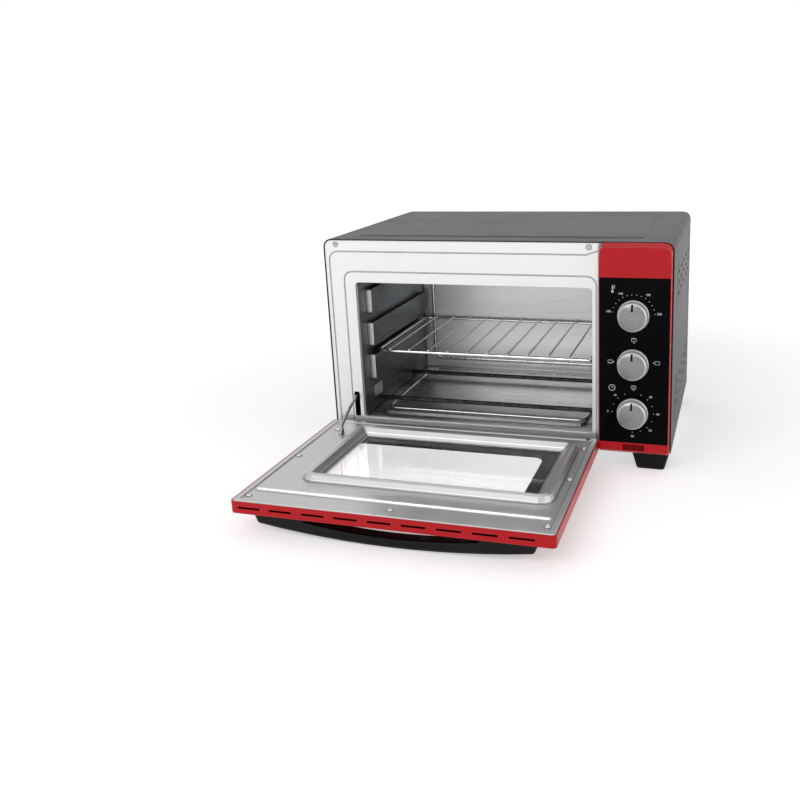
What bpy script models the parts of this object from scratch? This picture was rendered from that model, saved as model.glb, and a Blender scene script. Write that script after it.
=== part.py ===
"""Counter-top mini oven with an open drop-down door, a wire rack and three control knobs.

Everything is modelled in the oven's own frame and carried by the empty named oven:
x runs to the right, y runs to the back from the face of the front frame,
and z runs up from the underside of the casing.
"""

import math

import bmesh
import bpy
from mathutils import Vector

# Casing and clearances
CASING_WIDTH = 0.480
CASING_HEIGHT = 0.280
CASING_DEPTH = 0.316
CASING_SHEET = 0.0008
CASING_CORNER = 0.011
CASING_LIP = 0.010
CASING_LIP_END_GAP = 0.003
CASING_JOINT = 0.0004
SEAT_GAP = 0.0003
RUN_GAP = 0.0005
CUT_OVERRUN = 0.002
CORNER_STEPS = 3
LEAST_CORNER = 0.0002
TOP_FACE_SHARE = 0.9

# Raised panel of the casing top
TOP_PANEL_MARGIN = 0.030
TOP_PANEL_SLOPE = 0.003
TOP_PANEL_RISE = 0.0012

# Side vents and side grooves
VENT_LENGTH = 0.022
VENT_HEIGHT = 0.0042
VENT_COLUMNS = 5
VENT_ROWS = 3
VENT_COLUMN_PITCH = 0.046
VENT_ROW_PITCH = 0.0145
VENT_FIRST_Y = 0.085
VENT_LOW_Z = 0.059
VENT_TOP_MARGIN = 0.067
VENT_END_STEPS = 2
SIDE_GROOVE_Y = 0.057
SIDE_GROOVE_WIDTH = 0.004
SIDE_GROOVE_LENGTH = 0.068
SIDE_GROOVE_DEPTH = 0.0004

# Base plate, back plate and feet
BASE_SHEET = 0.001
BACK_SHEET = 0.0008
BACK_RECESS = 0.0025
BACK_PANEL_MARGIN = 0.026
BACK_PANEL_SLOPE = 0.003
BACK_PANEL_DEPTH = 0.0015
BACK_VENT_DROP = 0.105
BACK_VENT_COUNT = 8
BACK_VENT_WIDTH = 0.004
BACK_VENT_LENGTH = 0.050
BACK_VENT_PITCH = 0.014
BASE_VENT_COUNT = 8
BASE_VENT_PITCH = 0.022
BASE_VENT_ROW = 0.060
FOOT_HEIGHT = 0.027
FOOT_TOP_WIDTH = 0.051
FOOT_BOTTOM_WIDTH = 0.037
FOOT_LENGTH = 0.038
FOOT_TAPER = 0.003
FOOT_CORNER = 0.004
FOOT_BEVEL = 0.0015
FOOT_STEM = 0.003
FOOT_STEM_ROUND_SHARE = 0.95
FOOT_STEM_HEIGHT = 0.003
FOOT_SIDE_INSET = 0.0015
FOOT_FRONT_INSET = 0.004
FOOT_BACK_INSET = 0.014

# Front frame
FRAME_SHEET = 0.001
FRAME_FLANGE = 0.009
FRAME_EDGE_ROUND = 0.0004
FRAME_FOOT_CORNER = 0.002
OPENING_LEFT_MARGIN = 0.0445
OPENING_RIGHT_MARGIN = 0.0118
OPENING_BOTTOM = 0.021
OPENING_TOP_MARGIN = 0.061
OPENING_CORNER = 0.005
OPENING_FLANGE = 0.007
GROOVE_WIDTH = 0.0022
GROOVE_DEPTH = 0.0005
OUTER_GROOVE_SIDE_MARGIN = 0.008
OUTER_GROOVE_TOP_MARGIN = 0.012
OUTER_GROOVE_TURN_INSET = 0.0193
OUTER_GROOVE_RISE = 0.0055
INNER_GROOVE_LEFT_MARGIN = 0.016
INNER_GROOVE_RIGHT_MARGIN = 0.006
INNER_GROOVE_TOP_MARGIN = 0.0155
GROOVE_CORNER = 0.012
GROOVE_FOOT_Z = 0.008
FRAME_SCREW_LEFT_INSET = 0.0187
FRAME_SCREW_RIGHT_INSET = 0.0156
FRAME_SCREW_DROP = 0.0075
FLAT_HEAD_HEIGHT = 0.0003

# Oven cavity
CAVITY_LEFT_STEP = 0.0025
CAVITY_RIGHT_STEP = 0.0015
CAVITY_FLOOR_STEP = 0.004
CAVITY_ROOF_STEP = 0.004
CAVITY_BACK_ROOM = 0.046
CAVITY_SHEET = 0.0008
RUNNER_FRONT = 0.038
RUNNER_BACK_INSET = 0.012
RUNNER_RISE = 0.0075
RUNNER_SLOPE = 0.0012
RUNNER_CORNER = 0.004
RUNNER_BAND_SHARES = ((0.233, 0.4223), (0.4782, 0.6578), (0.7184, 0.8981))
PANEL_MARGIN = 0.015
PANEL_SLOPE = 0.004
PANEL_RISE = 0.003
PANEL_FRONT = 0.030
PANEL_CORNER = 0.014
BRACKET_FRONT = 0.045
BRACKET_BACK = 0.073
BRACKET_LOW = 0.036
BRACKET_HIGH = 0.054
BRACKET_SHEET = 0.001
BRACKET_CORNER = 0.002
BRACKET_SCREW_Y = 0.050
BRACKET_SCREW_Z = 0.045

# Heating elements
ROD_RADIUS = 0.00325
ROD_PIN_RADIUS = 0.0013
ROD_PIN_LENGTH = 0.010
ROD_END_RADIUS = 0.005
ROD_END_LENGTH = 0.004
ROD_FRONT_Y = 0.070
ROD_BACK_INSET = 0.067
ROD_FLOOR_GAP = 0.011
ROD_ROOF_GAP = 0.013
ROD_SIDES = 12

# Wire rack
RACK_FRAME_RADIUS = 0.0025
RACK_WIRE_RADIUS = 0.0014
RACK_FRONT_Y = 0.053
RACK_BACK_PLAY = 0.008
RACK_SIDE_PLAY = 0.001
RACK_CORNER = 0.012
RACK_LAST_INSET = 0.012
RACK_WIRE_PITCH = 0.0297
RACK_WELD_SINK = 0.0009
RACK_WIRE_OVERHANG = 0.0008
RACK_FIRST_INSET = 0.0266
RACK_LEVEL = 0
RACK_SIDES = 6

# Door
HINGE_OUT = 0.013
HINGE_UP = 0.006
DOOR_GAP = 0.001
DOOR_THICKNESS = 0.016
DOOR_BELOW_AXIS = 0.004
DOOR_SIDE_GAP = 0.0008
DOOR_CORNER = 0.005
DOOR_WALL = 0.0012
DOOR_FACE_WALL = 0.0015
DOOR_EDGE_ROUND = 0.0015
DOOR_EDGE_STEPS = 2
DOOR_SHELL_DROP = 0.0006
DOOR_HINGE_BAR = 0.012
WINDOW_LEFT_MARGIN = 0.0617
WINDOW_RIGHT_MARGIN = 0.061
WINDOW_NEAR = 0.040
WINDOW_FAR_MARGIN = 0.082
WINDOW_CORNER = 0.012
EDGE_SLOT_END_INSET = 0.022
EDGE_SLOT_LENGTH = 0.0285
EDGE_SLOT_HEIGHT = 0.0026
EDGE_SLOT_PITCH = 0.0406
EDGE_SLOT_INSET = 0.0102
EDGE_SLOT_DROP = 0.008
PAN_SHEET = 0.0007
PAN_SKIRT = 0.003
PAN_RIM = 0.007
PAN_STEP = 0.0012
PAN_EDGE_ROUND = 0.001
RING_LEFT_MARGIN = 0.0522
RING_RIGHT_MARGIN = 0.020
RING_NEAR = 0.024
RING_FAR_MARGIN = 0.070
RING_CORNER = 0.016
RING_HEIGHT = 0.009
RING_SHOULDER = 0.0075
RING_OUTER_SLOPE = 0.003
RING_CREST = 0.007
RING_INNER_SHOULDER = 0.0115
RING_INNER_FOOT = 0.020
RING_LIP = 0.022
RING_LIP_DROP = 0.0015
BEAD_MARGIN = 0.0375
BEAD_WIDTH = 0.0055
BEAD_HEIGHT = 0.002
BEAD_SLOPE_SHARE = 0.5
BEAD_END_INSET = 0.013
PANE_THICKNESS = 0.0035
OUTER_PANE_MARGIN = 0.013
INNER_PANE_MARGIN = 0.006
PANE_CORNER = 0.008
RETAINER_SHEET = 0.0007
RETAINER_OUTSIDE = 0.007
RETAINER_BEND = 0.001
RETAINER_INSIDE = 0.019
RETAINER_RIGHT_TRIM = 0.005
POST_RADIUS = 0.004
DOOR_SCREW_LEFT_INSET = 0.0142
DOOR_SCREW_RIGHT_INSET = 0.0135
DOOR_SCREW_FAR_INSET = 0.019
DOOR_SCREW_MIDDLE_SHARE = 0.482
DOOR_SCREW_NEAR = 0.034
DOOR_SCREW_NEAR_INSET = 0.0227

# Hinges
PIN_RADIUS = 0.002
PIN_BORE_RADIUS = 0.0023
PIN_LENGTH = 0.026
HINGE_LEFT_INSET = 0.018
HINGE_RIGHT_INSET = 0.014
HINGE_PLATE = 0.003
HINGE_EYE_RADIUS = 0.004
HINGE_SHANK_BACK = 0.020
HINGE_FLANGE_FRONT = 0.0115
HINGE_FLANGE = 0.010
HINGE_FLANGE_SHEET = 0.0015
NOTCH_PLAY = 0.0006
NOTCH_REACH = 0.0055
HINGE_SIDES = 12

# Door stay
STAY_OPENING_GAP = 0.0097
STAY_THICKNESS = 0.002
STAY_PIVOT_Q = 0.046
STAY_PIVOT_RISE = 0.0062
STAY_SLOT_Z = 0.0505
STAY_TAIL = 0.009
STAY_BOW = 0.004
STAY_HALF_END = 0.0020
STAY_HALF_MIDDLE = 0.0026
STAY_STEPS = 8
STAY_EYE_RADIUS = 0.0036
STAY_RIVET_RADIUS = 0.0014
STAY_RIVET_HOLE = 0.0017
STAY_RIVET_HEAD = 0.0026
STAY_RIVET_HEAD_HEIGHT = 0.0008
SLOT_LEFT_PLAY = 0.0038
SLOT_RIGHT_PLAY = 0.0045
SLOT_BOTTOM = 0.0215
SLOT_TOP = 0.0585
SLOT_CORNER = 0.002
STAY_EAR_THICKNESS = 0.0012
STAY_EAR_LENGTH = 0.010
STAY_EAR_ROOT = 0.0004

# Handle
HANDLE_DEPTH = 0.0275
HANDLE_END_DEPTH = 0.0155
HANDLE_GAP_MIDDLE = 0.0155
HANDLE_GAP_END = 0.008
HANDLE_END_INSET = 0.0211
HANDLE_LEG_LENGTH = 0.060
HANDLE_END_SLOPE = 0.006
HANDLE_LEG_SLOPE = 0.008
HANDLE_WIDTH = 0.018
HANDLE_EDGE_INSET = 0.020
HANDLE_BEVEL = 0.003
HANDLE_BEVEL_ANGLE = 60
HANDLE_STEPS = 12
HANDLE_SCREW_INSET = 0.032
HANDLE_SCREW_LENGTH = 0.009

# Control fascia
FASCIA_WIDTH = 0.0899
FASCIA_PROUD = 0.020
FASCIA_WALL = 0.0022
FASCIA_FACE_WALL = 0.0044
FASCIA_SIDE_GAP = 0.001
FASCIA_TOP_GAP = 0.0003
FASCIA_TOP_BEVEL = 0.0125
FASCIA_BOTTOM_BEVEL = 0.007
FASCIA_START_SHARE = 0.12
FASCIA_KNEE_SHARE = 0.66
FASCIA_KNEE_DROP_SHARE = 0.40
FASCIA_EDGE_ROUND = 0.0006
FASCIA_LEFT_CORNER = 0.005
FASCIA_FOOT_CORNER = 0.002
PLATE_BOTTOM = 0.0195
PLATE_TOP_MARGIN = 0.0425
PLATE_THICKNESS = 0.002
PLATE_SIDE_INSET = 0.0012
PLATE_PROUD = 0.0003
PLATE_LEDGE = 0.004
PLATE_CORNER = 0.001
LENS_INSET = 0.0452
LENS_Z = 0.0128
LENS_WIDTH = 0.027
LENS_HEIGHT = 0.0072
LENS_DEPTH = 0.006
LENS_PROUD = 0.0004
LAMP_RADIUS = 0.0042
LAMP_LENGTH = 0.022
LAMP_HOLE_RADIUS = 0.0045
LAMP_SIDES = 12

# Knobs, shafts and the controls behind the frame
KNOB_INSET = 0.044
THERMOSTAT_DROP = 0.0475
FUNCTION_RISE = 0.001
TIMER_RISE = 0.0415
KNOB_RADIUS = 0.0200
KNOB_WAIST_RADIUS = 0.0188
KNOB_HEIGHT = 0.0167
KNOB_CLEARANCE = 0.0010
KNOB_EDGE = 0.0015
KNOB_DOME = 0.0006
KNOB_FACE_INSET = 0.0022
KNOB_RIM_HEIGHT = 0.0035
KNOB_SEGMENTS = 32
POINTER_WIDTH = 0.0018
POINTER_LENGTH = 0.009
POINTER_OUT = 0.0178
POINTER_DEPTH = 0.0006
SHAFT_RADIUS = 0.003
SHAFT_BORE_RADIUS = 0.0034
SHAFT_BACK = 0.012
SHAFT_INTO_KNOB = 0.011
SHAFT_SIDES = 12
BUSHING_RADIUS = 0.0048
BUSHING_OUT = 0.005
BUSHING_SIDES = 16
BUSHING_HOLE_RADIUS = 0.0052
THERMOSTAT_WIDTH = 0.030
THERMOSTAT_HEIGHT = 0.040
THERMOSTAT_DEPTH = 0.024
SWITCH_SIZE = 0.036
SWITCH_DEPTH = 0.026
SWITCH_STEP = 0.003
SWITCH_STEP_SHARE = 0.5
TIMER_RADIUS = 0.024
TIMER_DEPTH = 0.030
BELL_RADIUS = 0.020
BELL_DEPTH = 0.009
BELL_WALL = 0.0009
TIMER_SIDES = 20
BELL_STEM_RADIUS = 0.002
CONTROL_BEVEL = 0.002
TAB_WIDTH = 0.005
TAB_THICKNESS = 0.0008
TAB_LENGTH = 0.008
TAB_PITCH = 0.010
TAB_SINK = 0.001

# Heat shield, terminal block, cord gland and leads
SHIELD_INSET = 0.0147
SHIELD_SHEET = 0.0006
SHIELD_FLANGE = 0.010
SHIELD_ABOVE_ROOF = 0.040
SHIELD_BACK_INSET = 0.020
TERMINAL_SIDE_INSET = 0.040
TERMINAL_BACK_INSET = 0.066
TERMINAL_WIDTH = 0.040
TERMINAL_LENGTH = 0.018
TERMINAL_HEIGHT = 0.016
TERMINAL_HOLE = 0.004
TERMINAL_HOLES = 3
TERMINAL_PITCH = 0.012
TERMINAL_HOLE_DEPTH = 0.008
GLAND_SIDE_INSET = 0.035
GLAND_Z = 0.060
GLAND_FLANGE_RADIUS = 0.010
GLAND_BODY_RADIUS = 0.0075
GLAND_BORE_RADIUS = 0.0036
GLAND_FLANGE = 0.0018
GLAND_INSIDE = 0.009
GLAND_SIDES = 16

# Screws
SCREW_HEAD_RADIUS = 0.0033
SCREW_HEAD_HEIGHT = 0.0016
SCREW_SHANK_RADIUS = 0.0014
SCREW_HOLE_RADIUS = 0.0018
SCREW_LENGTH = 0.006
SCREW_SIDES = 8
SCREW_CROWN_SHARE = 0.62

# Values worked out from the ones above
HALF_WIDTH = CASING_WIDTH / 2
CASING_INSIDE = HALF_WIDTH - CASING_SHEET
CASING_FRONT = -DOOR_GAP / 2
BASE_HALF_WIDTH = CASING_INSIDE - SEAT_GAP
FASCIA_RIGHT = CASING_INSIDE - FASCIA_SIDE_GAP
FASCIA_LEFT = FASCIA_RIGHT - FASCIA_WIDTH
OPENING_LEFT = -HALF_WIDTH + OPENING_LEFT_MARGIN
OPENING_RIGHT = FASCIA_LEFT - OPENING_RIGHT_MARGIN
OPENING_TOP = CASING_HEIGHT - OPENING_TOP_MARGIN
OUTER_GROOVE_LEFT = -HALF_WIDTH + OUTER_GROOVE_SIDE_MARGIN
OUTER_GROOVE_TOP = CASING_HEIGHT - OUTER_GROOVE_TOP_MARGIN
OUTER_GROOVE_TURN_X = FASCIA_LEFT - OUTER_GROOVE_TURN_INSET
INNER_GROOVE_LEFT = OPENING_LEFT - INNER_GROOVE_LEFT_MARGIN
INNER_GROOVE_RIGHT = OPENING_RIGHT + INNER_GROOVE_RIGHT_MARGIN
INNER_GROOVE_TOP = OPENING_TOP + INNER_GROOVE_TOP_MARGIN
FRAME_SCREW_LEFT = -HALF_WIDTH + FRAME_SCREW_LEFT_INSET
FRAME_SCREW_RIGHT = FASCIA_LEFT - FRAME_SCREW_RIGHT_INSET
FRAME_SCREW_Z = CASING_HEIGHT - FRAME_SCREW_DROP
CAVITY_LEFT = OPENING_LEFT - CAVITY_LEFT_STEP
CAVITY_RIGHT = OPENING_RIGHT + CAVITY_RIGHT_STEP
CAVITY_FLOOR = OPENING_BOTTOM - CAVITY_FLOOR_STEP
CAVITY_ROOF = OPENING_TOP + CAVITY_ROOF_STEP
CAVITY_DEPTH = CASING_DEPTH - CAVITY_BACK_ROOM
RUNNER_BACK = CAVITY_DEPTH - RUNNER_BACK_INSET
ROD_BACK_Y = CAVITY_DEPTH - ROD_BACK_INSET
ROD_LOW_Z = CAVITY_FLOOR + ROD_FLOOR_GAP
ROD_HIGH_Z = CAVITY_ROOF - ROD_ROOF_GAP
RACK_BACK_Y = CAVITY_DEPTH - RACK_BACK_PLAY
RACK_FIRST_WIRE = CAVITY_LEFT + RACK_FIRST_INSET
RACK_WIRES = 1 + int((CAVITY_RIGHT - RACK_LAST_INSET - RACK_FIRST_WIRE) / RACK_WIRE_PITCH)
CAVITY_HEIGHT = CAVITY_ROOF - CAVITY_FLOOR
RUNNER_BANDS = [[CAVITY_FLOOR + share * CAVITY_HEIGHT for share in band] for band in RUNNER_BAND_SHARES]
STAY_X = OPENING_LEFT - STAY_OPENING_GAP
SLOT_LEFT = STAY_X - SLOT_LEFT_PLAY
SLOT_RIGHT = STAY_X + SLOT_RIGHT_PLAY
FRAME_HALF_WIDTH = CASING_INSIDE - FASCIA_SIDE_GAP
FRAME_BOTTOM = SEAT_GAP
FRAME_TOP = CASING_HEIGHT - CASING_SHEET - FASCIA_SIDE_GAP
FRAME_CORNER = CASING_CORNER - CASING_SHEET - FASCIA_SIDE_GAP
BASE_FRONT = FRAME_FLANGE + SEAT_GAP
BASE_TOP = BASE_SHEET + SEAT_GAP
BACK_FACE = CASING_DEPTH - BACK_RECESS
BACK_PLATE_Y = BACK_FACE - BACK_SHEET
VENT_HIGH_Z = CASING_HEIGHT - VENT_TOP_MARGIN
BACK_VENT_Z = CASING_HEIGHT - BACK_VENT_DROP
BEHIND_FRAME = FRAME_SHEET + SEAT_GAP
FASCIA_TOP = CASING_HEIGHT - CASING_SHEET - FASCIA_TOP_GAP
FASCIA_CORNER = CASING_CORNER - CASING_SHEET
PLATE_LEFT = FASCIA_LEFT + PLATE_SIDE_INSET
PLATE_RIGHT = FASCIA_RIGHT - PLATE_SIDE_INSET
PLATE_TOP = CASING_HEIGHT - PLATE_TOP_MARGIN
LENS_X = FASCIA_LEFT + LENS_INSET
KNOB_X = FASCIA_LEFT + KNOB_INSET
THERMOSTAT_Z = PLATE_TOP - THERMOSTAT_DROP
TIMER_Z = PLATE_BOTTOM + TIMER_RISE
FUNCTION_Z = (THERMOSTAT_Z + TIMER_Z) / 2 + FUNCTION_RISE
SHIELD_X = FASCIA_LEFT + SHIELD_INSET
TERMINAL_X = HALF_WIDTH - TERMINAL_SIDE_INSET
TERMINAL_Y = CASING_DEPTH - TERMINAL_BACK_INSET
GLAND_X = HALF_WIDTH - GLAND_SIDE_INSET
DOOR_LEFT = -CASING_INSIDE + RUN_GAP
DOOR_RIGHT = FASCIA_LEFT - DOOR_SIDE_GAP
DOOR_MIDDLE = (DOOR_LEFT + DOOR_RIGHT) / 2
DOOR_NEAR = -DOOR_BELOW_AXIS
DOOR_FAR = CASING_HEIGHT - HINGE_UP
WINDOW_LEFT = DOOR_LEFT + WINDOW_LEFT_MARGIN
WINDOW_RIGHT = DOOR_RIGHT - WINDOW_RIGHT_MARGIN
WINDOW_FAR = DOOR_FAR - WINDOW_FAR_MARGIN
EDGE_SLOT_FIRST = DOOR_LEFT + EDGE_SLOT_INSET
EDGE_SLOT_ROOM = DOOR_RIGHT - EDGE_SLOT_END_INSET - EDGE_SLOT_LENGTH - EDGE_SLOT_FIRST
EDGE_SLOTS = 1 + int(EDGE_SLOT_ROOM / EDGE_SLOT_PITCH)
RING_LEFT = DOOR_LEFT + RING_LEFT_MARGIN
RING_RIGHT = DOOR_RIGHT - RING_RIGHT_MARGIN
RING_FAR = DOOR_FAR - RING_FAR_MARGIN
BEAD_Q = DOOR_FAR - BEAD_MARGIN
DOOR_SCREW_LEFT = DOOR_LEFT + DOOR_SCREW_LEFT_INSET
DOOR_SCREW_RIGHT = DOOR_RIGHT - DOOR_SCREW_RIGHT_INSET
DOOR_SCREW_FAR = DOOR_FAR - DOOR_SCREW_FAR_INSET
DOOR_SCREW_MIDDLE = DOOR_FAR * DOOR_SCREW_MIDDLE_SHARE
DOOR_SCREW_NEAR_LEFT = DOOR_LEFT + DOOR_SCREW_NEAR_INSET
HINGE_LEFT_X = -HALF_WIDTH + HINGE_LEFT_INSET
HINGE_RIGHT_X = DOOR_RIGHT - HINGE_RIGHT_INSET
HANDLE_HALF_LENGTH = (DOOR_RIGHT - DOOR_LEFT) / 2 - HANDLE_END_INSET
HANDLE_LEG_INNER = HANDLE_HALF_LENGTH - HANDLE_LEG_LENGTH
HANDLE_SCREW_X = HANDLE_HALF_LENGTH - HANDLE_SCREW_INSET
HANDLE_Q = DOOR_FAR - HANDLE_EDGE_INSET
DOOR_INNER = HINGE_OUT - DOOR_GAP
DOOR_OUTER = DOOR_INNER - DOOR_THICKNESS
PAN_FLOOR = DOOR_INNER - PAN_STEP
DOOR_REACH = HINGE_OUT + DOOR_FAR
PAN_INSET = DOOR_WALL + SEAT_GAP
DOOR_FLOOR = DOOR_OUTER + DOOR_FACE_WALL
STAY_PIVOT_HEIGHT = PAN_FLOOR + STAY_PIVOT_RISE
RING_LIP_HEIGHT = PAN_FLOOR - RING_LIP_DROP
INNER_PANE_TOP = RING_LIP_HEIGHT - PAN_SHEET - SEAT_GAP
RACK_LEFT_IN = CAVITY_LEFT_STEP + RACK_SIDE_PLAY + RACK_FRAME_RADIUS
RACK_RIGHT_IN = CAVITY_RIGHT_STEP + RACK_SIDE_PLAY + RACK_FRAME_RADIUS
RUNNER_TILT = math.atan2(RUNNER_SLOPE, RUNNER_RISE)
RUNNER_TOP = RUNNER_BANDS[RACK_LEVEL][1] - RUNNER_SLOPE * RACK_RIGHT_IN / RUNNER_RISE
RACK_Z = RUNNER_TOP + (SEAT_GAP + RACK_FRAME_RADIUS) / math.cos(RUNNER_TILT)
PLATE_FACE = -FASCIA_PROUD - PLATE_PROUD
KNOB_BACK = PLATE_FACE - KNOB_CLEARANCE
KNOB_FACE = KNOB_BACK - KNOB_HEIGHT


# Helpers for outlines and solids

def clear_scene():
    """Remove every object that the file opened with."""
    for thing in list(bpy.data.objects):
        bpy.data.objects.remove(thing, do_unlink=True)


def make_material(name, colour, roughness, metallic=0.0, alpha=1.0):
    """Principled material with one colour."""
    material = bpy.data.materials.new(name)
    material.use_nodes = True
    shader = material.node_tree.nodes["Principled BSDF"]
    shader.inputs["Base Color"].default_value = (*colour, 1.0)
    shader.inputs["Roughness"].default_value = roughness
    shader.inputs["Metallic"].default_value = metallic
    shader.inputs["Alpha"].default_value = alpha
    material.diffuse_color = (*colour, alpha)
    return material


def arc(centre, radius, start, end, steps):
    """Points on an arc, with its angles in degrees."""
    points = []
    for step in range(steps + 1):
        angle = math.radians(start + (end - start) * step / steps)
        points.append((centre[0] + radius * math.cos(angle), centre[1] + radius * math.sin(angle)))
    return points


def rounded_rect(rect, radius, inset=0):
    """Outline (left, right, low, high) with round corners, drawn in by an inset."""
    left, right, low, high = rect
    radii = radius if isinstance(radius, tuple) else (radius,) * 4
    corners = ((right, high, -1, -1, 0), (left, high, 1, -1, 90), (left, low, 1, 1, 180), (right, low, -1, 1, 270))
    points = []
    for (u, v, inward_u, inward_v, start), corner in zip(corners, radii):
        turn = max(corner - inset, LEAST_CORNER)
        centre = (u + inward_u * (inset + turn), v + inward_v * (inset + turn))
        points += arc(centre, turn, start, start + 90, CORNER_STEPS)
    return points


def at_level(outline, axis, level):
    """Place a flat outline in space, square to the named axis."""
    if axis == "X":
        return [(level, u, v) for u, v in outline]
    if axis == "Y":
        return [(u, level, v) for u, v in outline]
    return [(u, v, level) for u, v in outline]


def add_loops(bm, loops, caps=True, closed=False):
    """Skin a row of loops that have the same number of points, and return their vertices."""
    rings = [[bm.verts.new(point) for point in loop] for loop in loops]
    following_rings = rings[1:] + rings[:1] if closed else rings[1:]
    for ring, following in zip(rings, following_rings):
        count = len(ring)
        for index in range(count):
            after = (index + 1) % count
            bm.faces.new((ring[index], ring[after], following[after], following[index]))
    if caps and not closed:
        bm.faces.new(list(reversed(rings[0])))
        bm.faces.new(rings[-1])
    return rings


def add_prism(bm, outline, axis, start, end):
    """Closed prism with a flat outline."""
    add_loops(bm, [at_level(outline, axis, start), at_level(outline, axis, end)])


def add_box(bm, low, high):
    """Closed box between two corners."""
    outline = [(low[0], low[1]), (high[0], low[1]), (high[0], high[1]), (low[0], high[1])]
    add_prism(bm, outline, "Z", low[2], high[2])


def add_turned(bm, profile, axis, centre, segments, closed=False):
    """Turn (radius, height) pairs round an axis; a radius of zero makes a pole."""
    rings = []
    for radius, height in profile:
        points = []
        for index in range(segments if radius else 1):
            angle = 2 * math.pi * index / segments
            across = (radius * math.cos(angle), radius * math.sin(angle))
            point = Vector(at_level([across], axis, height)[0])
            points.append(bm.verts.new(point + Vector(centre)))
        rings.append(points)
    following_rings = rings[1:] + rings[:1] if closed else rings[1:]
    for ring, following in zip(rings, following_rings):
        for index in range(segments):
            after = (index + 1) % segments
            if len(ring) == 1:
                bm.faces.new((ring[0], following[index], following[after]))
            elif len(following) == 1:
                bm.faces.new((ring[index], following[0], ring[after]))
            else:
                bm.faces.new((ring[index], following[index], following[after], ring[after]))


def add_cylinder(bm, radius, axis, centre, start, end, segments):
    """Closed cylinder along an axis."""
    add_turned(bm, [(0, start), (radius, start), (radius, end), (0, end)], axis, centre, segments)


def add_level_ring(bm, outline, level, radius, sides):
    """Closed round wire that follows an outline at one level."""
    count = len(outline)
    loops = []
    for index, point in enumerate(outline):
        along = (Vector(outline[(index + 1) % count]) - Vector(outline[index - 1])).normalized()
        across = Vector((along.y, -along.x))
        loop = []
        for side in range(sides):
            angle = 2 * math.pi * (side / sides)
            out = Vector(point) + across * radius * math.cos(angle)
            loop.append((out.x, out.y, level + radius * math.sin(angle)))
        loops.append(loop)
    add_loops(bm, loops, closed=True)


def ribbon(path, width):
    """Closed outline of a band that follows an open path."""
    left = []
    right = []
    for index, point in enumerate(path):
        before = Vector(path[max(index - 1, 0)])
        after = Vector(path[min(index + 1, len(path) - 1)])
        along = (after - before).normalized()
        across = Vector((-along.y, along.x)) * width / 2
        left.append(tuple(Vector(point) + across))
        right.append(tuple(Vector(point) - across))
    return left + list(reversed(right))


def make_piece(name, bm, material, parent, smooth_angle=None, tidy=True):
    """Turn a bmesh into a named object with a material and a parent."""
    if tidy:
        bmesh.ops.recalc_face_normals(bm, faces=bm.faces[:])
    mesh = bpy.data.meshes.new(name)
    bm.to_mesh(mesh)
    bm.free()
    piece = bpy.data.objects.new(name, mesh)
    bpy.context.scene.collection.objects.link(piece)
    if material:
        mesh.materials.append(material)
    piece.parent = parent
    if smooth_angle:
        mesh.shade_smooth()
        mesh.set_sharp_from_angle(angle=math.radians(smooth_angle))
    return piece


def make_tool(name, bm, parent):
    """Object that only cuts or joins, and is no part of the oven."""
    tool = make_piece(name, bm, None, parent)
    tool.hide_render = True
    tool.display_type = "WIRE"
    return tool


def boolean(piece, name, bm, operation="DIFFERENCE"):
    """Cut a shape out of a piece, or join it on."""
    tool = make_tool(name, bm, piece.parent)
    modifier = piece.modifiers.new(name, "BOOLEAN")
    modifier.operation = operation
    modifier.solver = "EXACT"
    modifier.object = tool


def soften(piece, width, segments=2, angle=40):
    """Round the sharp edges of a piece."""
    modifier = piece.modifiers.new("Round", "BEVEL")
    modifier.width = width
    modifier.segments = segments
    modifier.limit_method = "ANGLE"
    modifier.angle_limit = math.radians(angle)
    modifier.use_clamp_overlap = True


def make_empty(name, location, parent=None):
    """Empty that carries other objects."""
    empty = bpy.data.objects.new(name, None)
    bpy.context.scene.collection.objects.link(empty)
    empty.location = location
    empty.parent = parent
    return empty


def pressed_sheet(name, border, features, axis, facing, sheet, material, parent):
    """Pressed sheet; border and features are stacks of (outline, level), features with a cap flag."""
    bm = bmesh.new()
    edges = []
    for stack, capped, edge_ring in [(border, False, -1)] + [(*feature, 0) for feature in features]:
        rings = add_loops(bm, [at_level(outline, axis, level) for outline, level in stack], caps=False)
        ring = rings[edge_ring]
        for index, vertex in enumerate(ring):
            following = ring[(index + 1) % len(ring)]
            edges.append(bm.edges.get((vertex, following)) or bm.edges.new((vertex, following)))
        if capped:
            bm.faces.new(rings[-1])
    bmesh.ops.triangle_fill(bm, use_beauty=True, edges=edges)
    bmesh.ops.recalc_face_normals(bm, faces=bm.faces[:])
    if sum(face.normal.dot(Vector(facing)) * face.calc_area() for face in bm.faces) < 0:
        bmesh.ops.reverse_faces(bm, faces=bm.faces[:])
    piece = make_piece(name, bm, material, parent, tidy=False)
    modifier = piece.modifiers.new("Sheet", "SOLIDIFY")
    modifier.thickness = sheet
    modifier.offset = -1
    modifier.use_even_offset = True
    return piece


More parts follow.
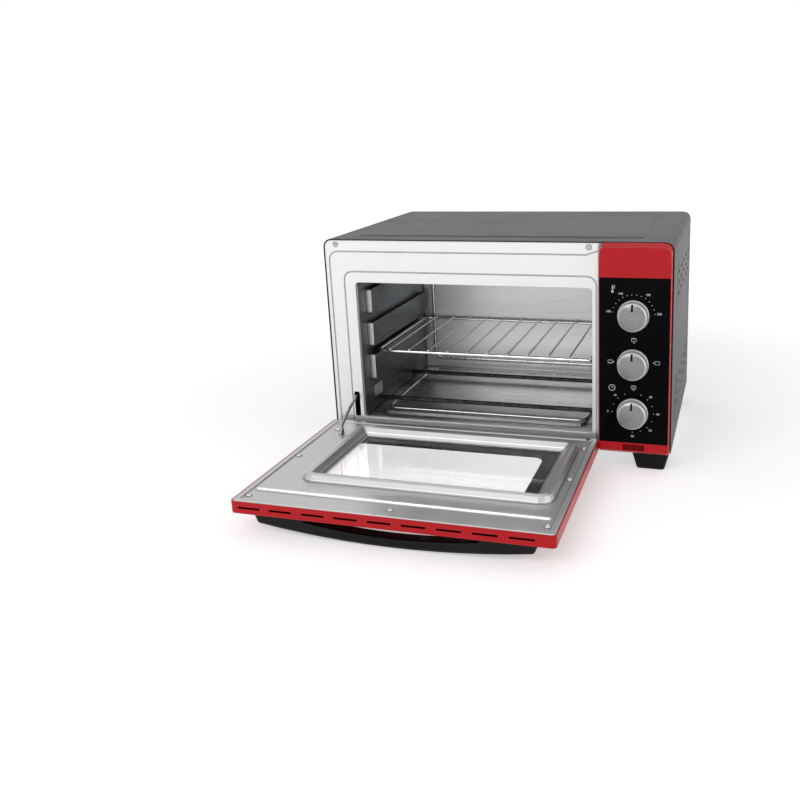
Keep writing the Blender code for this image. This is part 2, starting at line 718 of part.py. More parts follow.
def make_screws(places, axis, direction, material, parent, length=SCREW_LENGTH, head_height=SCREW_HEAD_HEIGHT):
    """Equal round-headed screws, by name and seat point, whose heads look the way of direction."""
    head = head_height * direction
    gap = SEAT_GAP * direction
    profile = [
        (0, gap + head),
        (SCREW_HEAD_RADIUS * SCREW_CROWN_SHARE, gap + head),
        (SCREW_HEAD_RADIUS, gap + head * SCREW_CROWN_SHARE),
        (SCREW_HEAD_RADIUS, gap),
        (SCREW_SHANK_RADIUS, gap),
        (SCREW_SHANK_RADIUS, -length * direction),
        (0, -length * direction),
    ]
    bm = bmesh.new()
    add_turned(bm, profile, axis, (0, 0, 0), SCREW_SIDES)
    mesh = None
    for name, seat in places.items():
        if mesh is None:
            screw = make_piece(name, bm, material, parent, smooth_angle=35)
            mesh = screw.data
        else:
            screw = bpy.data.objects.new(name, mesh)
            bpy.context.scene.collection.objects.link(screw)
            screw.parent = parent
        screw.location = seat


def add_hole(bm, centre, axis, half_depth, radius=SCREW_HOLE_RADIUS, segments=SCREW_SIDES):
    """Cutter for a round hole."""
    add_cylinder(bm, radius, axis, centre, -half_depth, half_depth, segments)


def add_blind_hole(bm, centre, axis, start, end, radius=SCREW_HOLE_RADIUS, segments=SCREW_SIDES):
    """Cutter for a round hole between two levels."""
    add_cylinder(bm, radius, axis, centre, start, end, segments)


# Materials

def make_materials():
    """One material for each kind of surface."""
    return {
        "casing": make_material("casing_grey", (0.20, 0.20, 0.21), 0.38, 0.25),
        "plated": make_material("plated_steel", (0.62, 0.62, 0.63), 0.36, 0.95),
        "frame": make_material("bright_steel", (0.82, 0.83, 0.84), 0.28, 0.85),
        "cavity": make_material("cavity_steel", (0.50, 0.51, 0.52), 0.34, 0.95),
        "pan": make_material("door_pan_steel", (0.60, 0.61, 0.62), 0.30, 0.95),
        "red": make_material("red_gloss", (0.47, 0.018, 0.028), 0.28),
        "black_gloss": make_material("black_gloss", (0.008, 0.008, 0.009), 0.10),
        "black_plastic": make_material("black_plastic", (0.012, 0.012, 0.013), 0.38),
        "silver": make_material("knob_silver", (0.60, 0.60, 0.61), 0.34, 0.7),
        "dark_steel": make_material("dark_steel", (0.16, 0.16, 0.17), 0.42, 0.9),
        "chrome": make_material("chrome_wire", (0.72, 0.72, 0.73), 0.16, 1.0),
        "ceramic": make_material("ceramic", (0.80, 0.78, 0.73), 0.55),
        "heater": make_material("heater_steel", (0.20, 0.19, 0.18), 0.40, 0.9),
        "glass": make_material("clear_glass", (0.90, 0.93, 0.92), 0.03, 0.0, 0.35),
        "lens": make_material("red_lens", (0.35, 0.0, 0.004), 0.12),
    }


# Casing pieces

def vent_outline(y, z):
    """Slot with round ends, in the side of the casing."""
    half = VENT_HEIGHT / 2
    reach = VENT_LENGTH / 2 - half
    return arc((y + reach, z), half, -90, 90, VENT_END_STEPS) + arc((y - reach, z), half, 90, 270, VENT_END_STEPS)


def raise_top_panel(bm, direction):
    """Press the raised panel into the large level face that looks up or down."""
    faces = [face for face in bm.faces if face.normal.z * direction > TOP_FACE_SHARE]
    panel = max(faces, key=lambda face: face.calc_area())
    bmesh.ops.inset_region(bm, faces=[panel], thickness=TOP_PANEL_MARGIN, use_even_offset=True)
    bmesh.ops.inset_region(bm, faces=[panel], thickness=TOP_PANEL_SLOPE, use_even_offset=True)
    bmesh.ops.translate(bm, vec=(0, 0, TOP_PANEL_RISE), verts=panel.verts[:])


def make_outer_casing(parent, materials):
    """Folded sheet that makes the top and both sides."""
    centre = (HALF_WIDTH - CASING_CORNER, CASING_HEIGHT - CASING_CORNER)
    outer = [(HALF_WIDTH, 0)] + arc(centre, CASING_CORNER, 0, 90, CORNER_STEPS)
    inner = [(CASING_INSIDE, 0)] + arc(centre, CASING_CORNER - CASING_SHEET, 0, 90, CORNER_STEPS)
    outline = outer + [(-x, z) for x, z in reversed(outer)]
    outline += [(-x, z) for x, z in inner] + list(reversed(inner))
    bm = bmesh.new()
    add_prism(bm, outline, "Y", CASING_FRONT, CASING_DEPTH)
    bmesh.ops.recalc_face_normals(bm, faces=bm.faces[:])
    raise_top_panel(bm, 1)
    raise_top_panel(bm, -1)
    casing = make_piece("outer_casing", bm, materials["casing"], parent, smooth_angle=35)
    lips = bmesh.new()
    lip_back = BACK_PLATE_Y - SEAT_GAP
    for side in (-1, 1):
        low_x, high_x = sorted((side * (CASING_INSIDE - CASING_LIP), side * (CASING_INSIDE + CASING_JOINT)))
        front = FRAME_FLANGE + CASING_LIP_END_GAP
        add_box(lips, (low_x, front, BASE_TOP), (high_x, lip_back - CASING_LIP_END_GAP, BASE_TOP + CASING_SHEET))
        top = CASING_HEIGHT - CASING_CORNER
        add_box(lips, (low_x, lip_back - CASING_SHEET, BASE_TOP), (high_x, lip_back, top))
    boolean(casing, "casing_lips", lips, "UNION")
    cutter = bmesh.new()
    reach = HALF_WIDTH + CUT_OVERRUN
    for middle_z in (VENT_LOW_Z, VENT_HIGH_Z):
        for row in range(VENT_ROWS):
            z = middle_z + (row - (VENT_ROWS - 1) / 2) * VENT_ROW_PITCH
            for column in range(VENT_COLUMNS):
                y = VENT_FIRST_Y + column * VENT_COLUMN_PITCH
                add_prism(cutter, vent_outline(y, z), "X", -reach, reach)
        for side in (-1, 1):
            low_x, high_x = sorted((side * (HALF_WIDTH - SIDE_GROOVE_DEPTH), side * reach))
            low = (low_x, SIDE_GROOVE_Y - SIDE_GROOVE_WIDTH / 2, middle_z - SIDE_GROOVE_LENGTH / 2)
            high = (high_x, SIDE_GROOVE_Y + SIDE_GROOVE_WIDTH / 2, middle_z + SIDE_GROOVE_LENGTH / 2)
            add_box(cutter, low, high)
    boolean(casing, "casing_cutter", cutter)


def make_base_plate(parent, materials):
    """Flat sheet that closes the casing underneath."""
    bm = bmesh.new()
    add_box(bm, (-BASE_HALF_WIDTH, BASE_FRONT, 0), (BASE_HALF_WIDTH, BACK_FACE, BASE_SHEET))
    plate = make_piece("base_plate", bm, materials["plated"], parent)
    cutter = bmesh.new()
    for x, y in foot_places().values():
        add_hole(cutter, (x, y, 0), "Z", CUT_OVERRUN, FOOT_STEM + SEAT_GAP, SHAFT_SIDES)
    for row in (-1, 1):
        for index in range(BASE_VENT_COUNT):
            x = (index - (BASE_VENT_COUNT - 1) / 2) * BASE_VENT_PITCH
            y = CASING_DEPTH / 2 + row * BASE_VENT_ROW
            low = (x - BACK_VENT_WIDTH / 2, y - BACK_VENT_LENGTH / 2, -CUT_OVERRUN)
            high = (x + BACK_VENT_WIDTH / 2, y + BACK_VENT_LENGTH / 2, CUT_OVERRUN)
            add_box(cutter, low, high)
    boolean(plate, "base_cutter", cutter)


def make_back_plate(parent, materials):
    """Rear sheet with a sunk panel, upright vents and the cord hole."""
    edge = (-BASE_HALF_WIDTH, BASE_HALF_WIDTH, BASE_TOP, FASCIA_TOP)
    corners = (FASCIA_CORNER, FASCIA_CORNER, LEAST_CORNER, LEAST_CORNER)
    border = [(rounded_rect(edge, corners), BACK_FACE)]
    panel_corner = BACK_PANEL_MARGIN + CASING_CORNER
    base = rounded_rect(edge, panel_corner, BACK_PANEL_MARGIN)
    floor = rounded_rect(edge, panel_corner, BACK_PANEL_MARGIN + BACK_PANEL_SLOPE)
    features = [([(base, BACK_FACE), (floor, BACK_FACE - BACK_PANEL_DEPTH)], True)]
    plate = pressed_sheet(
        "back_plate", border, features, "Y", (0, 1, 0), BACK_SHEET, materials["plated"], parent
    )
    cutter = bmesh.new()
    for index in range(BACK_VENT_COUNT):
        x = (index - (BACK_VENT_COUNT - 1) / 2) * BACK_VENT_PITCH
        low = (x - BACK_VENT_WIDTH / 2, BACK_PLATE_Y - CUT_OVERRUN, BACK_VENT_Z - BACK_VENT_LENGTH / 2)
        high = (x + BACK_VENT_WIDTH / 2, BACK_FACE + CUT_OVERRUN, BACK_VENT_Z + BACK_VENT_LENGTH / 2)
        add_box(cutter, low, high)
    add_hole(cutter, (GLAND_X, BACK_FACE, GLAND_Z), "Y", CUT_OVERRUN * 2, GLAND_BODY_RADIUS + SEAT_GAP, GLAND_SIDES)
    boolean(plate, "back_cutter", cutter)


def foot_places():
    """Centres of the four feet, by name."""
    x = HALF_WIDTH - FOOT_SIDE_INSET - FOOT_TOP_WIDTH / 2
    front = FOOT_FRONT_INSET + FOOT_LENGTH / 2
    back = CASING_DEPTH - FOOT_BACK_INSET - FOOT_LENGTH / 2
    return {
        "foot_front_left": (-x, front),
        "foot_front_right": (x, front),
        "foot_back_left": (-x, back),
        "foot_back_right": (x, back),
    }


def make_feet(parent, materials):
    """Four tapered feet, each with a stem that snaps into the base plate."""
    taper = (FOOT_TOP_WIDTH - FOOT_BOTTOM_WIDTH) / 2
    half_x = FOOT_TOP_WIDTH / 2
    half_y = FOOT_LENGTH / 2
    top = (-half_x, half_x, -half_y, half_y)
    low = (-half_x + taper, half_x - taper, -half_y + FOOT_TAPER, half_y - FOOT_TAPER)
    stem = rounded_rect((-FOOT_STEM, FOOT_STEM, -FOOT_STEM, FOOT_STEM), FOOT_STEM * FOOT_STEM_ROUND_SHARE)
    for name, (x, y) in foot_places().items():
        bm = bmesh.new()
        add_loops(bm, [
            at_level(rounded_rect(low, FOOT_CORNER, FOOT_BEVEL), "Z", -FOOT_HEIGHT),
            at_level(rounded_rect(low, FOOT_CORNER), "Z", -FOOT_HEIGHT + FOOT_BEVEL),
            at_level(rounded_rect(top, FOOT_CORNER), "Z", -SEAT_GAP),
            at_level(stem, "Z", -SEAT_GAP),
            at_level(stem, "Z", FOOT_STEM_HEIGHT),
        ])
        foot = make_piece(name, bm, materials["black_plastic"], parent, smooth_angle=35)
        foot.location = (x, y, 0)


# Front frame

def frame_screw_places():
    """Screws along the top of the front frame, by name."""
    return {
        "frame_screw_left": (FRAME_SCREW_LEFT, 0, FRAME_SCREW_Z),
        "frame_screw_right": (FRAME_SCREW_RIGHT, 0, FRAME_SCREW_Z),
    }


def control_heights():
    """Heights of the three control shafts."""
    return (THERMOSTAT_Z, FUNCTION_Z, TIMER_Z)


def make_front_frame(parent, materials):
    """Front sheet with an edge turned back, the oven opening and pressed grooves."""
    edge = (-FRAME_HALF_WIDTH, FRAME_HALF_WIDTH, FRAME_BOTTOM, FRAME_TOP)
    corners = (FRAME_CORNER, FRAME_CORNER, FRAME_FOOT_CORNER, FRAME_FOOT_CORNER)
    opening = (OPENING_LEFT, OPENING_RIGHT, OPENING_BOTTOM, OPENING_TOP)

    def edge_at(inset, y):
        return at_level(rounded_rect(edge, corners, inset), "Y", y)

    def opening_at(outset, y):
        return at_level(rounded_rect(opening, OPENING_CORNER, -outset), "Y", y)

    bm = bmesh.new()
    add_loops(bm, [
        opening_at(0, OPENING_FLANGE),
        opening_at(0, FRAME_EDGE_ROUND),
        opening_at(FRAME_EDGE_ROUND, 0),
        edge_at(FRAME_EDGE_ROUND, 0),
        edge_at(0, FRAME_EDGE_ROUND),
        edge_at(0, FRAME_FLANGE),
        edge_at(FRAME_SHEET, FRAME_FLANGE),
        edge_at(FRAME_SHEET, FRAME_SHEET),
        opening_at(FRAME_SHEET, FRAME_SHEET),
        opening_at(FRAME_SHEET, OPENING_FLANGE),
    ], closed=True)
    frame = make_piece("front_frame", bm, materials["frame"], parent, smooth_angle=35)
    corner = GROOVE_CORNER
    turn = OUTER_GROOVE_TOP - OUTER_GROOVE_RISE
    outer_path = [(OUTER_GROOVE_LEFT, GROOVE_FOOT_Z)]
    outer_path += arc((OUTER_GROOVE_LEFT + corner, turn - corner), corner, 180, 90, CORNER_STEPS)
    outer_path += [(OUTER_GROOVE_TURN_X, turn), (OPENING_RIGHT + FRAME_FLANGE, turn + OUTER_GROOVE_RISE)]
    inner_path = [(INNER_GROOVE_LEFT, GROOVE_FOOT_Z)]
    inner_path += arc((INNER_GROOVE_LEFT + corner, INNER_GROOVE_TOP - corner), corner, 180, 90, CORNER_STEPS)
    inner_path += arc((INNER_GROOVE_RIGHT - corner, INNER_GROOVE_TOP - corner), corner, 90, 0, CORNER_STEPS)
    inner_path += [(INNER_GROOVE_RIGHT, GROOVE_FOOT_Z)]
    grooves = bmesh.new()
    for path in (outer_path, inner_path):
        add_prism(grooves, ribbon(path, GROOVE_WIDTH), "Y", -CUT_OVERRUN, GROOVE_DEPTH)
    boolean(frame, "frame_grooves", grooves)
    cutter = bmesh.new()
    slot = (SLOT_LEFT, SLOT_RIGHT, SLOT_BOTTOM, SLOT_TOP)
    add_prism(cutter, rounded_rect(slot, SLOT_CORNER), "Y", -CUT_OVERRUN, FRAME_SHEET + CUT_OVERRUN)
    for x in (HINGE_LEFT_X, HINGE_RIGHT_X):
        half = HINGE_PLATE / 2 + SEAT_GAP
        low = (x - half, -CUT_OVERRUN, HINGE_UP - HINGE_EYE_RADIUS - SEAT_GAP)
        high = (x + half, FRAME_SHEET + CUT_OVERRUN, HINGE_UP + HINGE_EYE_RADIUS + SEAT_GAP)
        add_box(cutter, low, high)
    for z in control_heights():
        add_hole(cutter, (KNOB_X, 0, z), "Y", CUT_OVERRUN, BUSHING_HOLE_RADIUS, BUSHING_SIDES)
    add_hole(cutter, (LENS_X, 0, LENS_Z), "Y", CUT_OVERRUN, LAMP_HOLE_RADIUS, LAMP_SIDES)
    for seat in frame_screw_places().values():
        add_hole(cutter, seat, "Y", CUT_OVERRUN)
    boolean(frame, "frame_cutter", cutter)


def make_frame_screws(parent, materials):
    """Low screws along the top of the front frame."""
    make_screws(frame_screw_places(), "Y", -1, materials["dark_steel"], parent, head_height=FLAT_HEAD_HEIGHT)


# Oven cavity

def rod_places():
    """Depths and heights of the four heating rods."""
    return [(y, z) for z in (ROD_LOW_Z, ROD_HIGH_Z) for y in (ROD_FRONT_Y, ROD_BACK_Y)]


def make_side_wall(name, x, inward, parent, materials):
    """Side wall of the cavity with three pressed runner pads."""
    edge = (BEHIND_FRAME, CAVITY_DEPTH + CAVITY_SHEET, CAVITY_FLOOR - CAVITY_SHEET, CAVITY_ROOF + CAVITY_SHEET)
    border = [(rounded_rect(edge, LEAST_CORNER), x)]
    features = []
    for low, high in RUNNER_BANDS:
        pad = (RUNNER_FRONT, RUNNER_BACK, low, high)
        base = rounded_rect(pad, RUNNER_CORNER)
        face = rounded_rect(pad, RUNNER_CORNER, RUNNER_SLOPE)
        features.append(([(base, x), (face, x + inward * RUNNER_RISE)], True))
    wall = pressed_sheet(name, border, features, "X", (inward, 0, 0), CAVITY_SHEET, materials["cavity"], parent)
    cutter = bmesh.new()
    for y, z in rod_places():
        add_hole(cutter, (x, y, z), "X", CUT_OVERRUN, ROD_RADIUS + SEAT_GAP, ROD_SIDES)
    if inward > 0:
        add_hole(cutter, (x, BRACKET_SCREW_Y, BRACKET_SCREW_Z), "X", CUT_OVERRUN)
    boolean(wall, name + "_cutter", cutter)


def make_cavity_panel(name, edge, pad, axis, level, facing, rise, parent, materials):
    """Cavity panel with one raised field."""
    base = rounded_rect(pad, PANEL_CORNER)
    field = rounded_rect(pad, PANEL_CORNER, PANEL_SLOPE)
    border = [(rounded_rect(edge, LEAST_CORNER), level)]
    features = [([(base, level), (field, level + rise)], True)]
    pressed_sheet(name, border, features, axis, facing, CAVITY_SHEET, materials["cavity"], parent)


def make_cavity(parent, materials):
    """Five sheets that line the oven."""
    make_side_wall("cavity_left_wall", CAVITY_LEFT, 1, parent, materials)
    make_side_wall("cavity_right_wall", CAVITY_RIGHT, -1, parent, materials)
    left = CAVITY_LEFT + SEAT_GAP
    right = CAVITY_RIGHT - SEAT_GAP
    back_edge = (left, right, CAVITY_FLOOR - CAVITY_SHEET, CAVITY_ROOF + CAVITY_SHEET)
    back_pad = (left + PANEL_MARGIN, right - PANEL_MARGIN, CAVITY_FLOOR + PANEL_MARGIN, CAVITY_ROOF - PANEL_MARGIN)
    make_cavity_panel(
        "cavity_back_wall", back_edge, back_pad, "Y", CAVITY_DEPTH, (0, -1, 0), -PANEL_RISE, parent, materials
    )
    edge = (left, right, BEHIND_FRAME, CAVITY_DEPTH - SEAT_GAP)
    pad = (left + PANEL_MARGIN, right - PANEL_MARGIN, PANEL_FRONT, CAVITY_DEPTH - PANEL_MARGIN)
    make_cavity_panel("cavity_floor", edge, pad, "Z", CAVITY_FLOOR, (0, 0, 1), PANEL_RISE, parent, materials)
    make_cavity_panel("cavity_roof", edge, pad, "Z", CAVITY_ROOF, (0, 0, -1), -PANEL_RISE, parent, materials)


def make_wall_bracket(parent, materials):
    """Small plate and screw low on the left wall of the cavity."""
    start = CAVITY_LEFT + SEAT_GAP
    plate = (BRACKET_FRONT, BRACKET_BACK, BRACKET_LOW, BRACKET_HIGH)
    bm = bmesh.new()
    add_prism(bm, rounded_rect(plate, BRACKET_CORNER), "X", start, start + BRACKET_SHEET)
    bracket = make_piece("wall_bracket", bm, materials["plated"], parent)
    cutter = bmesh.new()
    add_hole(cutter, (start, BRACKET_SCREW_Y, BRACKET_SCREW_Z), "X", CUT_OVERRUN)
    boolean(bracket, "bracket_cutter", cutter)
    seat = (start + BRACKET_SHEET, BRACKET_SCREW_Y, BRACKET_SCREW_Z)
    make_screws({"bracket_screw": seat}, "X", 1, materials["plated"], parent)


def make_heaters(parent, materials):
    """Four straight heating rods with ceramic ends and terminal pins outside the walls."""
    names = ("heater_lower_front", "heater_lower_back", "heater_upper_front", "heater_upper_back")
    half = (CAVITY_RIGHT - CAVITY_LEFT) / 2
    seat = half + CAVITY_SHEET + SEAT_GAP
    profile = [
        (ROD_RADIUS, seat),
        (ROD_END_RADIUS, seat),
        (ROD_END_RADIUS, seat + ROD_END_LENGTH),
        (ROD_PIN_RADIUS, seat + ROD_END_LENGTH),
        (ROD_PIN_RADIUS, seat + ROD_END_LENGTH + ROD_PIN_LENGTH),
        (0, seat + ROD_END_LENGTH + ROD_PIN_LENGTH),
    ]
    whole = [(radius, -x) for radius, x in reversed(profile)] + profile
    middle = (CAVITY_LEFT + CAVITY_RIGHT) / 2
    for name, (y, z) in zip(names, rod_places()):
        bm = bmesh.new()
        add_turned(bm, whole, "X", (0, 0, 0), ROD_SIDES)
        rod = make_piece(name, bm, materials["heater"], parent, smooth_angle=35)
        rod.location = (middle, y, z)


# Space between the cavity and the controls

def make_heat_shield(parent, materials):
    """Bent sheet between the hot cavity and the controls."""
    sheet = SHIELD_SHEET
    top = CAVITY_ROOF + SHIELD_ABOVE_ROOF
    outline = [
        (SHIELD_X, BASE_TOP),
        (SHIELD_X + SHIELD_FLANGE, BASE_TOP),
        (SHIELD_X + SHIELD_FLANGE, BASE_TOP + sheet),
        (SHIELD_X + sheet, BASE_TOP + sheet),
        (SHIELD_X + sheet, top),
        (SHIELD_X - SHIELD_FLANGE, top),
        (SHIELD_X - SHIELD_FLANGE, top - sheet),
        (SHIELD_X, top - sheet),
    ]
    bm = bmesh.new()
    add_prism(bm, outline, "Y", BASE_FRONT, BACK_PLATE_Y - SHIELD_BACK_INSET)
    make_piece("heat_shield", bm, materials["plated"], parent)


def add_tabs(bm, x, z, back, count, across):
    """Flat terminals that stand out of the back of a control."""
    for index in range(count):
        shift = (index - (count - 1) / 2) * TAB_PITCH
        centre_x = x + shift * across[0]
        centre_z = z + shift * across[1]
        half_x = (TAB_THICKNESS if across[0] else TAB_WIDTH) / 2
        half_z = (TAB_THICKNESS if across[1] else TAB_WIDTH) / 2
        low = (centre_x - half_x, back - TAB_SINK, centre_z - half_z)
        high = (centre_x + half_x, back + TAB_LENGTH, centre_z + half_z)
        add_box(bm, low, high)


def finish_control(name, bm, z, tabs, parent, material):
    """Join the bushing and the terminals to the body of a control and bore it for the shaft."""
    body = make_piece(name, bm, material, parent, smooth_angle=35)
    boolean(body, name + "_tabs", tabs, "UNION")
    bushing = bmesh.new()
    reach = BEHIND_FRAME + TAB_SINK
    add_cylinder(bushing, BUSHING_RADIUS, "Y", (KNOB_X, 0, z), -BUSHING_OUT, reach, BUSHING_SIDES)
    boolean(body, name + "_bushing", bushing, "UNION")
    bore = bmesh.new()
    start = -BUSHING_OUT - CUT_OVERRUN
    end = SHAFT_BACK + SEAT_GAP
    add_blind_hole(bore, (KNOB_X, 0, z), "Y", start, end, SHAFT_BORE_RADIUS, SHAFT_SIDES)
    boolean(body, name + "_bore", bore)


def make_thermostat(parent, materials):
    """Thermostat with a box body."""
    half_x = THERMOSTAT_WIDTH / 2
    half_z = THERMOSTAT_HEIGHT / 2
    box = (KNOB_X - half_x, KNOB_X + half_x, THERMOSTAT_Z - half_z, THERMOSTAT_Z + half_z)
    back = BEHIND_FRAME + THERMOSTAT_DEPTH
    bm = bmesh.new()
    add_loops(bm, [
        at_level(rounded_rect(box, CONTROL_BEVEL), "Y", BEHIND_FRAME),
        at_level(rounded_rect(box, CONTROL_BEVEL), "Y", back - CONTROL_BEVEL),
        at_level(rounded_rect(box, CONTROL_BEVEL, CONTROL_BEVEL), "Y", back),
    ])
    tabs = bmesh.new()
    add_tabs(tabs, KNOB_X, THERMOSTAT_Z, back, 2, (0, 1))
    finish_control("thermostat_body", bm, THERMOSTAT_Z, tabs, parent, materials["ceramic"])


def make_function_switch(parent, materials):
    """Rotary switch with a stepped body."""
    half = SWITCH_SIZE / 2
    box = (KNOB_X - half, KNOB_X + half, FUNCTION_Z - half, FUNCTION_Z + half)
    back = BEHIND_FRAME + SWITCH_DEPTH
    step = BEHIND_FRAME + SWITCH_DEPTH * SWITCH_STEP_SHARE
    bm = bmesh.new()
    add_loops(bm, [
        at_level(rounded_rect(box, CONTROL_BEVEL), "Y", BEHIND_FRAME),
        at_level(rounded_rect(box, CONTROL_BEVEL), "Y", step),
        at_level(rounded_rect(box, CONTROL_BEVEL, SWITCH_STEP), "Y", step),
        at_level(rounded_rect(box, CONTROL_BEVEL, SWITCH_STEP), "Y", back),
    ])
    tabs = bmesh.new()
    add_tabs(tabs, KNOB_X, FUNCTION_Z, back, 3, (1, 0))
    finish_control("function_switch", bm, FUNCTION_Z, tabs, parent, materials["black_plastic"])


def make_timer(parent, materials):
    """Clockwork timer can with its bell."""
    back = BEHIND_FRAME + TIMER_DEPTH
    bevel = CONTROL_BEVEL
    profile = [
        (0, BEHIND_FRAME),
        (TIMER_RADIUS, BEHIND_FRAME),
        (TIMER_RADIUS, back - bevel),
        (TIMER_RADIUS - bevel, back),
        (BELL_STEM_RADIUS, back),
        (BELL_STEM_RADIUS, back + BELL_DEPTH),
        (0, back + BELL_DEPTH),
    ]
    bm = bmesh.new()
    add_turned(bm, profile, "Y", (KNOB_X, 0, TIMER_Z), TIMER_SIDES)
    tabs = bmesh.new()
    add_tabs(tabs, KNOB_X, TIMER_Z + TIMER_RADIUS, back - TAB_LENGTH, 2, (1, 0))
    finish_control("timer_body", bm, TIMER_Z, tabs, parent, materials["plated"])
    inner = BELL_STEM_RADIUS + SEAT_GAP
    start = back + SEAT_GAP
    wall = BELL_WALL
    bell = [
        (inner, start),
        (BELL_RADIUS - bevel, start),
        (BELL_RADIUS, start + bevel),
        (BELL_RADIUS, start + BELL_DEPTH),
        (BELL_RADIUS - wall, start + BELL_DEPTH),
        (BELL_RADIUS - wall, start + bevel),
        (BELL_RADIUS - bevel - wall / 2, start + wall),
        (inner, start + wall),
    ]
    bm = bmesh.new()
    add_turned(bm, bell, "Y", (KNOB_X, 0, TIMER_Z), TIMER_SIDES, closed=True)
    make_piece("timer_bell", bm, materials["plated"], parent, smooth_angle=35)


def make_terminal_block(parent, materials):
    """Terminal block on the base plate, where the mains lead ends."""
    half_x = TERMINAL_WIDTH / 2
    half_y = TERMINAL_LENGTH / 2
    top = BASE_TOP + TERMINAL_HEIGHT
    bm = bmesh.new()
    add_box(
        bm,
        (TERMINAL_X - half_x, TERMINAL_Y - half_y, BASE_TOP),
        (TERMINAL_X + half_x, TERMINAL_Y + half_y, top),
    )
    block = make_piece("terminal_block", bm, materials["ceramic"], parent)
    cutter = bmesh.new()
    for index in range(TERMINAL_HOLES):
        x = TERMINAL_X + (index - (TERMINAL_HOLES - 1) / 2) * TERMINAL_PITCH
        start = top - TERMINAL_HOLE_DEPTH
        add_blind_hole(cutter, (x, TERMINAL_Y, 0), "Z", start, top + CUT_OVERRUN, TERMINAL_HOLE)
    boolean(block, "terminal_cutter", cutter)


def make_cord_gland(parent, materials):
    """Grommet in the back plate for the mains lead."""
    face = BACK_FACE + SEAT_GAP
    profile = [
        (GLAND_BORE_RADIUS, BACK_FACE - GLAND_INSIDE),
        (GLAND_BODY_RADIUS, BACK_FACE - GLAND_INSIDE),
        (GLAND_BODY_RADIUS, face),
        (GLAND_FLANGE_RADIUS, face),
        (GLAND_FLANGE_RADIUS, face + GLAND_FLANGE),
        (GLAND_BORE_RADIUS, face + GLAND_FLANGE),
    ]
    bm = bmesh.new()
    add_turned(bm, profile, "Y", (GLAND_X, 0, GLAND_Z), GLAND_SIDES, closed=True)
    make_piece("cord_gland", bm, materials["black_plastic"], parent, smooth_angle=35)


# Control panel

def make_control_fascia(parent, materials):
    """Hollow front housing of the controls, bevelled above and below."""
    full = (FASCIA_LEFT, FASCIA_RIGHT, SEAT_GAP, FASCIA_TOP)
    corners = (FASCIA_CORNER, FASCIA_LEFT_CORNER, FASCIA_FOOT_CORNER, FASCIA_FOOT_CORNER)
    start = -SEAT_GAP
    depth = FASCIA_PROUD

    def section(share, inset, y):
        rect = (
            full[0],
            full[1],
            full[2] + FASCIA_BOTTOM_BEVEL * share,
            full[3] - FASCIA_TOP_BEVEL * share,
        )
        return at_level(rounded_rect(rect, corners, inset), "Y", y)

    wall = FASCIA_WALL
    knee = FASCIA_KNEE_DROP_SHARE
    floor = -depth + FASCIA_FACE_WALL
    bm = bmesh.new()
    add_loops(bm, [
        section(1, wall, floor),
        section(knee, wall, -depth * FASCIA_KNEE_SHARE),
        section(0, wall, -depth * FASCIA_START_SHARE),
        section(0, wall, start),
        section(0, 0, start),
        section(0, 0, -depth * FASCIA_START_SHARE),
        section(knee, 0, -depth * FASCIA_KNEE_SHARE),
        section(1, 0, -depth + FASCIA_EDGE_ROUND),
        section(1, FASCIA_EDGE_ROUND, -depth),
    ])
    fascia = make_piece("control_fascia", bm, materials["red"], parent, smooth_angle=35)
    recess = (PLATE_LEFT - SEAT_GAP, PLATE_RIGHT + SEAT_GAP, PLATE_BOTTOM - SEAT_GAP, PLATE_TOP + SEAT_GAP)
    bottom = PLATE_FACE + PLATE_THICKNESS + SEAT_GAP
    cutter = bmesh.new()
    add_prism(cutter, rounded_rect(recess, PLATE_CORNER), "Y", -depth - CUT_OVERRUN, bottom)
    boolean(fascia, "fascia_recess", cutter)
    cutter = bmesh.new()
    window = rounded_rect(recess, PLATE_CORNER, PLATE_LEDGE)
    add_prism(cutter, window, "Y", -depth - CUT_OVERRUN, floor + CUT_OVERRUN)
    half_x = LENS_WIDTH / 2 + SEAT_GAP
    half_z = LENS_HEIGHT / 2 + SEAT_GAP
    lens = (LENS_X - half_x, LENS_X + half_x, LENS_Z - half_z, LENS_Z + half_z)
    add_prism(cutter, rounded_rect(lens, LEAST_CORNER), "Y", -depth - CUT_OVERRUN, floor + CUT_OVERRUN)
    boolean(fascia, "fascia_window", cutter)


def make_control_plate(parent, materials):
    """Gloss black plate round the knobs."""
    plate = (PLATE_LEFT, PLATE_RIGHT, PLATE_BOTTOM, PLATE_TOP)
    bm = bmesh.new()
    add_prism(bm, rounded_rect(plate, PLATE_CORNER), "Y", PLATE_FACE, PLATE_FACE + PLATE_THICKNESS)
    piece = make_piece("control_plate", bm, materials["black_gloss"], parent)
    cutter = bmesh.new()
    for z in control_heights():
        add_hole(cutter, (KNOB_X, PLATE_FACE, z), "Y", CUT_OVERRUN * 2, SHAFT_BORE_RADIUS + SEAT_GAP, SHAFT_SIDES)
    boolean(piece, "plate_cutter", cutter)


def make_indicator(parent, materials):
    """Red lens under the plate and the lamp behind it."""
    half_x = LENS_WIDTH / 2
    half_z = LENS_HEIGHT / 2
    lens = (LENS_X - half_x, LENS_X + half_x, LENS_Z - half_z, LENS_Z + half_z)
    front = -FASCIA_PROUD - LENS_PROUD
    bm = bmesh.new()
    add_prism(bm, rounded_rect(lens, LEAST_CORNER), "Y", front, front + LENS_DEPTH)
    make_piece("indicator_lens", bm, materials["lens"], parent)
    start = front + LENS_DEPTH + SEAT_GAP
    bm = bmesh.new()
    add_cylinder(bm, LAMP_RADIUS, "Y", (LENS_X, 0, LENS_Z), start, start + LAMP_LENGTH, LAMP_SIDES)
    make_piece("indicator_lamp", bm, materials["ceramic"], parent, smooth_angle=35)


